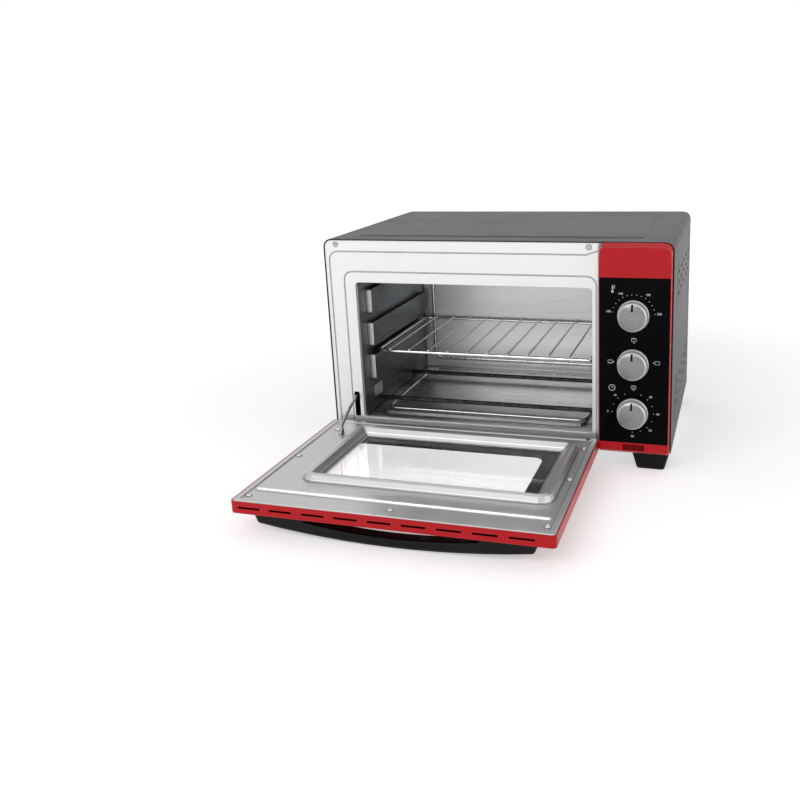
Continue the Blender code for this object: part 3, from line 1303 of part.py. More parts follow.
def make_control_knob(name, z, parent, materials):
    """Round knob with a pointer groove, and its shaft, turning about one axis."""
    hub = make_empty(name + "_axis", (KNOB_X, 0, z), parent)
    profile = [
        (0, KNOB_BACK),
        (KNOB_RADIUS, KNOB_BACK),
        (KNOB_RADIUS, KNOB_BACK - KNOB_RIM_HEIGHT),
        (KNOB_WAIST_RADIUS, KNOB_BACK - KNOB_RIM_HEIGHT - KNOB_DOME),
        (KNOB_WAIST_RADIUS, KNOB_FACE + KNOB_EDGE),
        (KNOB_WAIST_RADIUS - KNOB_EDGE, KNOB_FACE),
        (KNOB_WAIST_RADIUS - KNOB_EDGE - KNOB_FACE_INSET, KNOB_FACE + KNOB_DOME),
        (0, KNOB_FACE + KNOB_DOME),
    ]
    bm = bmesh.new()
    add_turned(bm, profile, "Y", (0, 0, 0), KNOB_SEGMENTS)
    knob = make_piece(name + "_knob", bm, materials["silver"], hub, smooth_angle=35)
    cutter = bmesh.new()
    half = POINTER_WIDTH / 2
    deep = KNOB_FACE + KNOB_DOME + POINTER_DEPTH
    add_box(cutter, (-half, KNOB_FACE - CUT_OVERRUN, POINTER_OUT - POINTER_LENGTH), (half, deep, POINTER_OUT))
    boolean(knob, name + "_pointer", cutter)
    bore = bmesh.new()
    front = KNOB_BACK - SHAFT_INTO_KNOB
    start = front - SEAT_GAP
    end = KNOB_BACK + CUT_OVERRUN
    add_blind_hole(bore, (0, 0, 0), "Y", start, end, SHAFT_RADIUS + SEAT_GAP, SHAFT_SIDES)
    boolean(knob, name + "_knob_bore", bore)
    shaft = bmesh.new()
    add_cylinder(shaft, SHAFT_RADIUS, "Y", (0, 0, 0), front, SHAFT_BACK, SHAFT_SIDES)
    make_piece(name + "_shaft", shaft, materials["plated"], hub, smooth_angle=35)


# Door, in its own frame: the origin on the hinge axis, and outlines drawn with y as minus the distance

def door_rect(left, right, near, far):
    """Rectangle on the door, between two distances from the hinge axis."""
    return (left, right, -far, -near)


def door_screw_places():
    """Screws round the pan of the door, by name."""
    places = (
        (DOOR_SCREW_NEAR_LEFT, DOOR_SCREW_NEAR),
        (DOOR_SCREW_LEFT, DOOR_SCREW_MIDDLE),
        (DOOR_SCREW_LEFT, DOOR_SCREW_FAR),
        (DOOR_MIDDLE, DOOR_SCREW_FAR),
        (DOOR_SCREW_RIGHT, DOOR_SCREW_FAR),
        (DOOR_SCREW_RIGHT, DOOR_SCREW_MIDDLE),
        (DOOR_SCREW_RIGHT, DOOR_SCREW_NEAR),
    )
    return {f"door_screw_{number + 1}": (x, -q, PAN_FLOOR) for number, (x, q) in enumerate(places)}


def handle_screw_places():
    """Screws that hold the handle, by name."""
    return {
        "handle_screw_left": (DOOR_MIDDLE - HANDLE_SCREW_X, -HANDLE_Q, DOOR_FLOOR),
        "handle_screw_right": (DOOR_MIDDLE + HANDLE_SCREW_X, -HANDLE_Q, DOOR_FLOOR),
    }


def add_hinge_notches(bm):
    """Cutter for the notches that let the hinge brackets into the door."""
    half = HINGE_PLATE / 2 + NOTCH_PLAY
    for x in (HINGE_LEFT_X, HINGE_RIGHT_X):
        low = (x - half, -NOTCH_REACH, DOOR_OUTER - CUT_OVERRUN)
        high = (x + half, -DOOR_NEAR + CUT_OVERRUN, DOOR_INNER + CUT_OVERRUN)
        add_box(bm, low, high)


def make_door_shell(parent, materials):
    """Red outer tray of the door, with its window, hinge bar, screw posts and edge slots."""
    rect = door_rect(DOOR_LEFT, DOOR_RIGHT, DOOR_NEAR, DOOR_FAR)
    top = DOOR_INNER - DOOR_SHELL_DROP

    def section(inset, height):
        return at_level(rounded_rect(rect, DOOR_CORNER, inset), "Z", height)

    edge = arc((DOOR_EDGE_ROUND, DOOR_OUTER + DOOR_EDGE_ROUND), DOOR_EDGE_ROUND, 180, 270, DOOR_EDGE_STEPS)
    bm = bmesh.new()
    add_loops(bm, [
        section(DOOR_WALL, DOOR_FLOOR),
        section(DOOR_WALL, top),
        section(0, top),
    ] + [section(inset, height) for inset, height in edge])
    shell = make_piece("door_shell", bm, materials["red"], parent, smooth_angle=35)
    extra = bmesh.new()
    inside = DOOR_WALL / 2
    add_box(
        extra,
        (DOOR_LEFT + inside, -DOOR_NEAR - DOOR_HINGE_BAR, DOOR_OUTER + inside),
        (DOOR_RIGHT - inside, -DOOR_NEAR - inside, -DOOR_NEAR),
    )
    post_top = PAN_FLOOR - PAN_SHEET - SEAT_GAP
    for x, y, _ in door_screw_places().values():
        start = DOOR_FLOOR - inside
        add_cylinder(extra, POST_RADIUS, "Z", (x, y, 0), start, post_top, SHAFT_SIDES)
    boolean(shell, "shell_posts", extra, "UNION")
    cutter = bmesh.new()
    window = door_rect(WINDOW_LEFT, WINDOW_RIGHT, WINDOW_NEAR, WINDOW_FAR)
    add_prism(cutter, rounded_rect(window, WINDOW_CORNER), "Z", DOOR_OUTER - CUT_OVERRUN, DOOR_FLOOR + CUT_OVERRUN)
    add_hinge_notches(cutter)
    slot_height = DOOR_INNER - EDGE_SLOT_DROP
    for index in range(EDGE_SLOTS):
        left = EDGE_SLOT_FIRST + index * EDGE_SLOT_PITCH
        low = (left, -DOOR_FAR - CUT_OVERRUN, slot_height - EDGE_SLOT_HEIGHT / 2)
        high = (left + EDGE_SLOT_LENGTH, -DOOR_FAR + DOOR_WALL + CUT_OVERRUN, slot_height + EDGE_SLOT_HEIGHT / 2)
        add_box(cutter, low, high)
    for x, y, _ in door_screw_places().values():
        add_blind_hole(cutter, (x, y, 0), "Z", DOOR_FLOOR, post_top + CUT_OVERRUN)
    for seat in handle_screw_places().values():
        add_hole(cutter, seat, "Z", DOOR_FACE_WALL + CUT_OVERRUN)
    boolean(shell, "shell_cutter", cutter)
    bores = bmesh.new()
    half = PIN_LENGTH / 2 + SEAT_GAP
    for x in (HINGE_LEFT_X, HINGE_RIGHT_X):
        add_hole(bores, (x, 0, 0), "X", half, PIN_BORE_RADIUS, HINGE_SIDES)
    boolean(shell, "shell_bores", bores)


def make_door_pan(parent, materials):
    """Pressed inner pan of the door, with its ring, bead and stay ear."""
    rect = door_rect(DOOR_LEFT, DOOR_RIGHT, DOOR_NEAR, DOOR_FAR)
    border = [
        (rounded_rect(rect, DOOR_CORNER, PAN_INSET), DOOR_INNER - PAN_SKIRT),
        (rounded_rect(rect, DOOR_CORNER, PAN_INSET), DOOR_INNER - PAN_EDGE_ROUND),
        (rounded_rect(rect, DOOR_CORNER, PAN_INSET + PAN_EDGE_ROUND), DOOR_INNER),
        (rounded_rect(rect, DOOR_CORNER, PAN_INSET + PAN_RIM), DOOR_INNER),
        (rounded_rect(rect, DOOR_CORNER, PAN_INSET + PAN_RIM + PAN_STEP), PAN_FLOOR),
    ]
    ring = door_rect(RING_LEFT, RING_RIGHT, RING_NEAR, RING_FAR)
    ring_steps = (
        (0, PAN_FLOOR),
        (RING_OUTER_SLOPE, PAN_FLOOR + RING_SHOULDER),
        (RING_CREST, PAN_FLOOR + RING_HEIGHT),
        (RING_INNER_SHOULDER, PAN_FLOOR + RING_SHOULDER),
        (RING_INNER_FOOT, RING_LIP_HEIGHT),
        (RING_LIP, RING_LIP_HEIGHT),
    )
    ring_stack = [(rounded_rect(ring, RING_CORNER, inset), height) for inset, height in ring_steps]
    bead = door_rect(
        DOOR_LEFT + BEAD_END_INSET, DOOR_RIGHT - BEAD_END_INSET, BEAD_Q - BEAD_WIDTH / 2, BEAD_Q + BEAD_WIDTH / 2
    )
    bead_corner = BEAD_WIDTH / 2
    bead_stack = [
        (rounded_rect(bead, bead_corner), PAN_FLOOR),
        (rounded_rect(bead, bead_corner, bead_corner * BEAD_SLOPE_SHARE), PAN_FLOOR + BEAD_HEIGHT),
    ]
    features = [(ring_stack, False), (bead_stack, True)]
    pan = pressed_sheet(
        "door_inner_pan", border, features, "Z", (0, 0, 1), PAN_SHEET, materials["pan"], parent
    )
    ear = bmesh.new()
    half = STAY_EAR_LENGTH / 2
    root = PAN_FLOOR - STAY_EAR_ROOT
    outline = [(-STAY_PIVOT_Q - half, root), (-STAY_PIVOT_Q + half, root)]
    outline += arc((-STAY_PIVOT_Q, STAY_PIVOT_HEIGHT), STAY_EYE_RADIUS, 0, 180, CORNER_STEPS * 2)
    ear_left = STAY_X + STAY_THICKNESS / 2 + SEAT_GAP
    add_prism(ear, outline, "X", ear_left, ear_left + STAY_EAR_THICKNESS)
    boolean(pan, "pan_ear", ear, "UNION")
    cutter = bmesh.new()
    add_hinge_notches(cutter)
    for seat in door_screw_places().values():
        add_hole(cutter, seat, "Z", CUT_OVERRUN)
    add_hole(
        cutter, (ear_left, -STAY_PIVOT_Q, STAY_PIVOT_HEIGHT), "X", CUT_OVERRUN, STAY_RIVET_HOLE, SCREW_SIDES
    )
    boolean(pan, "pan_cutter", cutter)


def make_door_glass(parent, materials):
    """Outer pane on the shell, inner pane under the ring, and the bent frame that holds it."""
    outer = door_rect(WINDOW_LEFT, WINDOW_RIGHT, WINDOW_NEAR, WINDOW_FAR)
    start = DOOR_FLOOR + SEAT_GAP
    bm = bmesh.new()
    add_prism(bm, rounded_rect(outer, PANE_CORNER, -OUTER_PANE_MARGIN), "Z", start, start + PANE_THICKNESS)
    make_piece("outer_glass", bm, materials["glass"], parent)
    ring = door_rect(RING_LEFT, RING_RIGHT, RING_NEAR, RING_FAR)
    inset = RING_LIP - INNER_PANE_MARGIN
    bottom = INNER_PANE_TOP - PANE_THICKNESS
    bm = bmesh.new()
    add_prism(bm, rounded_rect(ring, RING_CORNER, inset), "Z", bottom, INNER_PANE_TOP)
    make_piece("inner_glass", bm, materials["glass"], parent)
    upper = PAN_FLOOR - PAN_SHEET - SEAT_GAP
    lower = bottom - SEAT_GAP
    sheet = RETAINER_SHEET
    flange = door_rect(RING_LEFT, RING_RIGHT - RETAINER_RIGHT_TRIM, RING_NEAR, RING_FAR)
    steps = (
        (flange, -RETAINER_OUTSIDE, upper),
        (ring, -RETAINER_BEND, upper),
        (ring, -RETAINER_BEND, lower),
        (ring, RETAINER_INSIDE, lower),
        (ring, RETAINER_INSIDE, lower - sheet),
        (ring, -RETAINER_BEND - sheet, lower - sheet),
        (ring, -RETAINER_BEND - sheet, upper - sheet),
        (flange, -RETAINER_OUTSIDE, upper - sheet),
    )
    bm = bmesh.new()
    add_loops(
        bm,
        [at_level(rounded_rect(rect, RING_CORNER, step), "Z", height) for rect, step, height in steps],
        closed=True,
    )
    make_piece("glass_retainer", bm, materials["plated"], parent)


def make_door_handle(parent, materials):
    """Arched handle with two broad legs."""
    half = HANDLE_HALF_LENGTH
    top = DOOR_OUTER - SEAT_GAP
    outline = [(-half, top)]
    reach = half - HANDLE_END_SLOPE
    for step in range(HANDLE_STEPS + 1):
        x = -reach + 2 * reach * step / HANDLE_STEPS
        swell = 1 - (x / reach) ** 2
        outline.append((x, top - HANDLE_END_DEPTH - (HANDLE_DEPTH - HANDLE_END_DEPTH) * swell))
    outline.append((half, top))
    inner = HANDLE_LEG_INNER
    reach = inner - HANDLE_LEG_SLOPE
    outline.append((inner, top))
    for step in range(HANDLE_STEPS + 1):
        x = reach - 2 * reach * step / HANDLE_STEPS
        swell = 1 - (x / reach) ** 2
        outline.append((x, top - HANDLE_GAP_END - (HANDLE_GAP_MIDDLE - HANDLE_GAP_END) * swell))
    outline.append((-inner, top))
    placed = [(x + DOOR_MIDDLE, height) for x, height in outline]
    bm = bmesh.new()
    add_prism(bm, placed, "Y", -HANDLE_Q - HANDLE_WIDTH / 2, -HANDLE_Q + HANDLE_WIDTH / 2)
    handle = make_piece("door_handle", bm, materials["black_plastic"], parent, smooth_angle=35)
    soften(handle, HANDLE_BEVEL, angle=HANDLE_BEVEL_ANGLE)
    cutter = bmesh.new()
    for x, y, _ in handle_screw_places().values():
        end = top + CUT_OVERRUN
        start = DOOR_FLOOR - HANDLE_SCREW_LENGTH - SEAT_GAP
        add_blind_hole(cutter, (x, y, 0), "Z", start, end)
    boolean(handle, "handle_cutter", cutter)
    make_screws(handle_screw_places(), "Z", 1, materials["plated"], parent, HANDLE_SCREW_LENGTH)


def make_door_screws(parent, materials):
    """Screws that hold the pan to the posts of the shell."""
    make_screws(door_screw_places(), "Z", 1, materials["dark_steel"], parent)


def make_hinge_pins(parent, materials):
    """Two pins on the hinge axis, fixed in the door."""
    for name, x in (("hinge_pin_left", HINGE_LEFT_X), ("hinge_pin_right", HINGE_RIGHT_X)):
        bm = bmesh.new()
        add_cylinder(bm, PIN_RADIUS, "X", (x, 0, 0), -PIN_LENGTH / 2, PIN_LENGTH / 2, HINGE_SIDES)
        make_piece(name, bm, materials["plated"], parent, smooth_angle=35)


def make_hinge_brackets(parent, materials):
    """Plates with an eye that reach out through the frame and stand on the base plate."""
    low = HINGE_UP - HINGE_EYE_RADIUS
    high = HINGE_UP + HINGE_EYE_RADIUS
    outline = arc((-HINGE_OUT, HINGE_UP), HINGE_EYE_RADIUS, 90, 270, HINGE_SIDES // 2)
    outline += [
        (HINGE_FLANGE_FRONT, low),
        (HINGE_FLANGE_FRONT, BASE_TOP),
        (HINGE_SHANK_BACK, BASE_TOP),
        (HINGE_SHANK_BACK, high),
    ]
    for name, x in (("hinge_bracket_left", HINGE_LEFT_X), ("hinge_bracket_right", HINGE_RIGHT_X)):
        half = HINGE_PLATE / 2
        bm = bmesh.new()
        add_prism(bm, outline, "X", x - half, x + half)
        bracket = make_piece(name, bm, materials["plated"], parent, smooth_angle=35)
        flange = bmesh.new()
        low_corner = (x, HINGE_FLANGE_FRONT + SEAT_GAP, BASE_TOP + SEAT_GAP)
        high_corner = (x + half + HINGE_FLANGE, HINGE_SHANK_BACK - SEAT_GAP, BASE_TOP + HINGE_FLANGE_SHEET)
        add_box(flange, low_corner, high_corner)
        boolean(bracket, name + "_flange", flange, "UNION")
        eye = bmesh.new()
        add_hole(
            eye, (x, -HINGE_OUT, HINGE_UP), "X", half + CUT_OVERRUN, PIN_BORE_RADIUS, HINGE_SIDES
        )
        boolean(bracket, name + "_eye", eye)


def make_stay(door, materials):
    """Stay arm from the ear on the door, back through the slot in the front frame."""
    pivot = make_empty("stay_axis", (0, -STAY_PIVOT_Q, STAY_PIVOT_HEIGHT), door)
    reach = HINGE_OUT + STAY_PIVOT_Q
    rise = STAY_SLOT_Z - HINGE_UP - STAY_PIVOT_HEIGHT
    span = math.hypot(reach, rise)
    along = Vector((reach, rise)) / span
    across = Vector((-along.y, along.x))
    length = span + STAY_TAIL
    upper = []
    lower = []
    for step in range(STAY_STEPS + 1):
        share = step / STAY_STEPS
        swell = 4 * share * (1 - share)
        half = STAY_HALF_END + (STAY_HALF_MIDDLE - STAY_HALF_END) * swell
        middle = along * length * share + across * STAY_BOW * swell
        upper.append(tuple(middle + across * half))
        lower.append(tuple(middle - across * half))
    start = -STAY_THICKNESS / 2
    end = STAY_THICKNESS / 2
    bm = bmesh.new()
    add_prism(bm, upper + list(reversed(lower)), "X", STAY_X + start, STAY_X + end)
    arm = make_piece("stay_arm", bm, materials["plated"], pivot)
    eye = bmesh.new()
    add_cylinder(eye, STAY_EYE_RADIUS, "X", (STAY_X, 0, 0), start, end, HINGE_SIDES)
    boolean(arm, "stay_eye", eye, "UNION")
    hole = bmesh.new()
    add_hole(hole, (STAY_X, 0, 0), "X", end + CUT_OVERRUN, STAY_RIVET_HOLE, SCREW_SIDES)
    boolean(arm, "stay_hole", hole)
    head = STAY_RIVET_HEAD_HEIGHT
    left = STAY_X + start - SEAT_GAP
    right = STAY_X + end + SEAT_GAP + STAY_EAR_THICKNESS + SEAT_GAP
    profile = [
        (0, left - head),
        (STAY_RIVET_HEAD, left - head),
        (STAY_RIVET_HEAD, left),
        (STAY_RIVET_RADIUS, left),
        (STAY_RIVET_RADIUS, right),
        (STAY_RIVET_HEAD, right),
        (STAY_RIVET_HEAD, right + head),
        (0, right + head),
    ]
    rivet = bmesh.new()
    add_turned(rivet, profile, "X", (0, -STAY_PIVOT_Q, STAY_PIVOT_HEIGHT), SCREW_SIDES)
    make_piece("stay_rivet", rivet, materials["plated"], door, smooth_angle=35)


# Wire rack

def make_rack(parent, materials):
    """Wire rack on the lowest pair of runners."""
    origin = (0, RACK_FRONT_Y, RACK_Z)
    slide = make_empty("rack_slide_axis", origin, parent)
    left = CAVITY_LEFT + RACK_LEFT_IN
    right = CAVITY_RIGHT - RACK_RIGHT_IN
    ring = rounded_rect((left, right, 0, RACK_BACK_Y - RACK_FRONT_Y), RACK_CORNER)
    bm = bmesh.new()
    add_level_ring(bm, ring, 0, RACK_FRAME_RADIUS, RACK_SIDES)
    rack = make_piece("wire_rack", bm, materials["chrome"], slide, smooth_angle=50)
    wires = bmesh.new()
    level = RACK_FRAME_RADIUS + RACK_WIRE_RADIUS - RACK_WELD_SINK
    for index in range(RACK_WIRES):
        x = RACK_FIRST_WIRE + index * RACK_WIRE_PITCH
        end = RACK_BACK_Y - RACK_FRONT_Y + RACK_WIRE_OVERHANG
        add_cylinder(wires, RACK_WIRE_RADIUS, "Y", (x, 0, level), -RACK_WIRE_OVERHANG, end, RACK_SIDES)
    boolean(rack, "rack_wires", wires, "UNION")


def build():
    """Build the whole oven, with the door open and level."""
    clear_scene()
    materials = make_materials()
    oven = make_empty("oven", (0, (DOOR_REACH - CASING_DEPTH) / 2, FOOT_HEIGHT))
    make_outer_casing(oven, materials)
    make_base_plate(oven, materials)
    make_back_plate(oven, materials)
    make_feet(oven, materials)
    make_front_frame(oven, materials)
    make_frame_screws(oven, materials)
    make_cavity(oven, materials)
    make_wall_bracket(oven, materials)
    make_heaters(oven, materials)
    make_heat_shield(oven, materials)
    make_thermostat(oven, materials)
    make_function_switch(oven, materials)
    make_timer(oven, materials)
    make_terminal_block(oven, materials)
    make_cord_gland(oven, materials)
    make_control_fascia(oven, materials)
    make_control_plate(oven, materials)
    make_indicator(oven, materials)
    make_control_knob("thermostat", THERMOSTAT_Z, oven, materials)
    make_control_knob("function", FUNCTION_Z, oven, materials)
    make_control_knob("timer", TIMER_Z, oven, materials)
    make_hinge_brackets(oven, materials)
    door = make_empty("door_axis", (0, -HINGE_OUT, HINGE_UP), oven)
    make_door_shell(door, materials)
    make_door_pan(door, materials)
    make_door_glass(door, materials)
    make_door_handle(door, materials)
    make_door_screws(door, materials)
    make_hinge_pins(door, materials)
    make_stay(door, materials)
    make_rack(oven, materials)


build()
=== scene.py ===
"""Finishes, small fittings, printed marks, light and camera for a counter-top mini oven.

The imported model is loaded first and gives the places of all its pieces. The panel in the 3D
view's sidebar lists one button for each group of pieces and one for the stage.
"""

import math

import bmesh
import bpy
from mathutils import Euler, Matrix, Vector


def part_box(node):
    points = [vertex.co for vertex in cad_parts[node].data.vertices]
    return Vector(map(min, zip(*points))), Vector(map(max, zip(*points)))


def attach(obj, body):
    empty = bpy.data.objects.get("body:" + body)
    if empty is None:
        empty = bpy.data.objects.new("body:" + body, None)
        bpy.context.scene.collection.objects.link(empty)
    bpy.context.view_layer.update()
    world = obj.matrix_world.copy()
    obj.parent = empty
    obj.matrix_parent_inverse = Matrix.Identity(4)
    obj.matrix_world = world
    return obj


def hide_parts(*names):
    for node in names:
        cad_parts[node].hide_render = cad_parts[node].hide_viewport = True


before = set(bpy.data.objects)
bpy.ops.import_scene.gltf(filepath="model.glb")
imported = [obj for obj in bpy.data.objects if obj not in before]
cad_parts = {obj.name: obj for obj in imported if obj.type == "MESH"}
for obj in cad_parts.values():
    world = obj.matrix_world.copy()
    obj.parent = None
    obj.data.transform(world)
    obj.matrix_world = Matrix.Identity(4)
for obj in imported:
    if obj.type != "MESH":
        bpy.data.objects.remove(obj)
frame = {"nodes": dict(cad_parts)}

bl_info = {
    "name": "Mini Oven Finishes",
    "version": (1, 0, 0),
    "blender": (4, 5, 0),
    "location": "3D Viewport > Sidebar > Mini Oven",
    "description": "Dresses the mini oven with finishes, fittings, printed marks, light and camera",
    "category": "Object",
}

MM = 0.001

# The model is drawn from the middle of its footprint: the casing's front lies this far forward
# of that point, and the casing's underside this far above it.
FRONT_Y = -14.5 * MM
UNDERSIDE_Z = 27.0 * MM

# Knobs: centre line, heights above the underside, back faces, and the outline of radius and
# height that is turned, in millimetres
KNOB_X = 192.3 * MM
KNOB_HEIGHTS = {"thermostat": 190.0 * MM, "function": 126.5 * MM, "timer": 61.0 * MM}
KNOB_BACK_Y = -21.3 * MM
KNOB_OUTLINE = (
    (0.0, 0.0), (19.4, 0.0), (19.9, 0.3), (20.0, 0.8), (20.0, 2.9), (19.8, 3.4), (19.3, 3.8),
    (19.0, 4.3), (18.9, 5.2), (18.8, 9.0), (18.6, 11.0), (18.2, 12.3), (17.6, 13.2),
    (16.6, 13.95), (15.0, 14.65), (13.0, 15.25), (11.0, 15.7), (9.0, 16.05), (7.0, 16.32),
    (5.0, 16.52), (3.0, 16.64), (0.0, 16.7),
)
KNOB_CROWN = KNOB_OUTLINE[8:]
KNOB_TURNS = 96
KNOB_SHARP_ANGLE = 30.0
# Where the painted highlight on the knobs' rounded rim comes in and is full
KNOB_RIM_HIGHLIGHT_START = 15.6 * MM
KNOB_RIM_HIGHLIGHT_END = 17.8 * MM
KNOB_RING_RATE = 14000.0  # radians per metre: rings 0.45 mm apart

# Pointers on the knobs, in millimetres
POINTER_OUT = 17.2
POINTER_IN = 8.2
POINTER_HALF = 1.4
POINTER_PROUD = 0.06
POINTER_SINK = 0.4
POINTER_STEPS = 14
POINTER_END_SHARE = 0.7

# Indicator lens: middle, half sizes and the ribs behind it
LENS_X = 193.5 * MM
LENS_Z = 12.8 * MM
LENS_HALF_X = 13.5 * MM
LENS_HALF_Z = 3.6 * MM
LENS_RIB_RATE = 4200.0  # radians per metre: ribs 1.5 mm apart
# Where the painted shade of the lens's recessed border comes in and is full, at the ends and at the
# top and bottom
LENS_RIM_SHADE_ENDS = (2.6 * MM, 0.6 * MM)
LENS_RIM_SHADE_TOPS = (1.5 * MM, 0.3 * MM)

# Printed marks on the black plate
PRINT_Y = -20.36 * MM
PRINT_THICK = 0.03 * MM
SCALE_RADIUS = 26.6 * MM
SCALE_GAP_ANGLE = 1.0
DOT_RADIUS = 0.55 * MM
NUMBER_RADIUS = 32.0 * MM
NUMBER_SIZE = 4.1 * MM
NUMBER_BOLD = 0.12 * MM

# Dials: their knob, first and last angle clockwise from the top, count of dots, and numbers
DIALS = {
    "heat": ("thermostat", -82.0, 85.0, 14, ((0, "100"), (4, "140"), (9, "190"), (13, "230"))),
    "timer": (
        "timer", -90.0, 180.0, 13,
        ((0, "0"), (2, "10"), (6, "30"), (8, "40"), (10, "50"), (12, "60")),
    ),
}

# Symbols: their places, and in millimetres from there the ends and width of each line
THERMOMETER_PLACE = (165.9 * MM, 223.6 * MM)
THERMOMETER_DOTS = ((-3.4, 1.7, 20), (4.2, 0.75, 12))
THERMOMETER_LINES = (
    (0.0, -2.4, 0.0, 4.2, 1.5), (1.4, 4.3, 3.1, 4.3, 0.6), (1.4, 2.7, 3.1, 2.7, 0.6),
    (1.4, 1.1, 3.1, 1.1, 0.6),
)
CLOCK_PLACE = (165.7 * MM, 93.8 * MM)
CLOCK_RADIUS = 4.3 * MM
CLOCK_RING_WIDTH = 0.8 * MM
CLOCK_LINES = ((0.0, -0.3, 0.0, 2.6, 0.7), (-0.3, 0.0, 2.2, 0.0, 0.7))
BOX_LINES = (
    (-2.9, -2.1, 2.9, -2.1, 0.45), (2.9, -2.1, 2.9, 2.1, 0.45), (2.9, 2.1, -2.9, 2.1, 0.45),
    (-2.9, 2.1, -2.9, -2.1, 0.45),
)
UPPER_HEAT_LINE = (-1.9, 1.2, 1.9, 1.2, 0.5)
LOWER_HEAT_LINE = (-1.9, -1.2, 1.9, -1.2, 0.5)
TRIANGLE_BESIDE = 4.6 * MM
TRIANGLE_BELOW = 4.0 * MM
TRIANGLE_CORNERS = ((0.9, 0.0), (-0.7, 1.1), (-0.7, -1.1))

# Function symbols: place, the angle at which the small triangle stands, and their heat lines
FUNCTION_SYMBOLS = (
    ((193.1 * MM, 158.4 * MM), 180.0, (UPPER_HEAT_LINE,)),
    ((163.4 * MM, 128.6 * MM), 90.0, (LOWER_HEAT_LINE,)),
    ((222.6 * MM, 129.2 * MM), -90.0, ()),
    ((193.3 * MM, 95.4 * MM), 180.0, (UPPER_HEAT_LINE, LOWER_HEAT_LINE)),
)

# Screws: outlines of their heads and sizes of shank and cross recess, in millimetres
ROUND_HEAD = (
    (3.3, 0.0), (3.3, 0.35), (3.15, 0.85), (2.7, 1.3), (2.0, 1.52), (1.1, 1.6), (0.0, 1.6),
)
FLAT_HEAD = ((3.3, 0.0), (3.25, 0.12), (3.0, 0.24), (2.2, 0.3), (1.1, 0.3), (0.0, 0.3))
FLAT_HEAD_RECESS = 0.16
SCREW_TURNS = 48
SHANK_RADIUS = 1.4
SHANK_LENGTH = 1.0
CROSS_LENGTH = 2.0
CROSS_WIDTH = 0.42
CROSS_SLOPE = 0.16
CROSS_RUN_OUT = 0.5
CROSS_FIELD = 2.3
CROSS_SECTIONS = 4
SCREW_SHARP_ANGLE = 38.0

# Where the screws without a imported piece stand, and how far each screw is turned, in degrees
BACK_SCREWS = ((-228.0, 268.0), (228.0, 268.0), (-228.0, 12.0), (228.0, 12.0))
BACK_FACE_Y = 313.5 * MM
DOOR_SCREWS = 7
DOOR_SCREW_STEP = 17.0
BACK_SCREW_STEP = 31.0
HANDLE_SCREW_ANGLE = 40.0
FRAME_SCREW_ANGLE = 25.0

# Wire rack, and where any round wire is shaded sharp
WIRE_SHARP_ANGLE = 50.0
RACK_FRAME_RADIUS = 2.5 * MM
RACK_WIRE_RADIUS = 1.4 * MM
RACK_WIRES = 11
RACK_FIRST_X = -171.4 * MM
RACK_PITCH = 29.7 * MM
RACK_CORNER = 12.0 * MM
RACK_CORNER_STEPS = 8
RACK_WELD_SINK = 0.9 * MM

# Heating rods in the model's own frame, and the distances from their middle that are ceramic
ROD_PLACES_Y = (55.5 * MM, 188.5 * MM)
ROD_PLACES_Z = (55.0 * MM, 237.0 * MM)
ROD_MIDDLE_X = -30.0 * MM
ROD_CERAMIC = (169.3 * MM, 172.9 * MM)

# Flat field of the door pan in the model's own frame, and where above it the bead's painted
# highlight comes in and fades out again
PAN_LEVEL = 43.8 * MM
PAN_BEAD_HIGHLIGHT_START = (PAN_LEVEL + 1.25 * MM, PAN_LEVEL + 1.9 * MM)
PAN_BEAD_HIGHLIGHT_END = (PAN_LEVEL + 2.2 * MM, PAN_LEVEL + 2.8 * MM)

# Inside of the door shell: painted shade on the faces above its outer face and beside its hinge
# edge
SHELL_SHADE_HEIGHT = 12.4 * MM
SHELL_SHADE_MARGIN = 0.5 * MM
SHELL_SHADE_LIP = 3.0 * MM
SHELL_CORNER = 5.0 * MM

# Pressed beads round the raised fields of the cavity's back wall and floor
BEAD_RADIUS = 2.7 * MM
BEAD_SINK = 1.2 * MM
BEAD_MARGIN = 19.0 * MM
BEAD_FRONT = 48.0 * MM
BEAD_CORNER = 12.0 * MM

# Black printed border of the outer glass, its window in distances from the hinge axis
BORDER_WINDOW = (-176.2 * MM, 85.7 * MM, 58.0 * MM, 191.2 * MM)
BORDER_CORNER = 12.0 * MM
BORDER_OUTER_CORNER = 7.0 * MM
BORDER_EDGE = 1.0 * MM
BORDER_GAP = 0.02 * MM
BORDER_THICK = 0.08 * MM
HINGE_Y = -13.0 * MM

# Soft lights: place, aim, width and height, and the setting that holds their power
LIGHTS = {
    "main_light": ((-0.6, -2.2, 1.7), (0.0, 0.0, 0.12), (1.8, 1.3), "key"),
    "top_light": ((0.1, 0.1, 2.4), (0.0, 0.0, 0.0), (2.6, 2.2), "top"),
    "side_light": ((2.4, -0.5, 0.9), (0.1, 0.0, 0.1), (1.6, 1.4), "side"),
}

# Floor: half size, and its glow for the camera near the oven and far from it
FLOOR_HALF = 6.0
FLOOR_GLOW_PLACES = (0.45, 1.8)
FLOOR_GLOW = (0.42, 0.75)
FLOOR_GLOW_THROUGH_GLASS = 0.95

# Camera, fitted to the photograph at 800 x 800
CAMERA_PLACE = (0.3198, -1.1005, 0.4753)
CAMERA_TURN = (75.6545, 1.977, 16.6678)
CAMERA_LENS = 39.035
CAMERA_SENSOR = 36.0
CAMERA_SHIFT = (-0.1, -0.0875)
CAMERA_CLIP = (0.01, 50.0)


# Settings

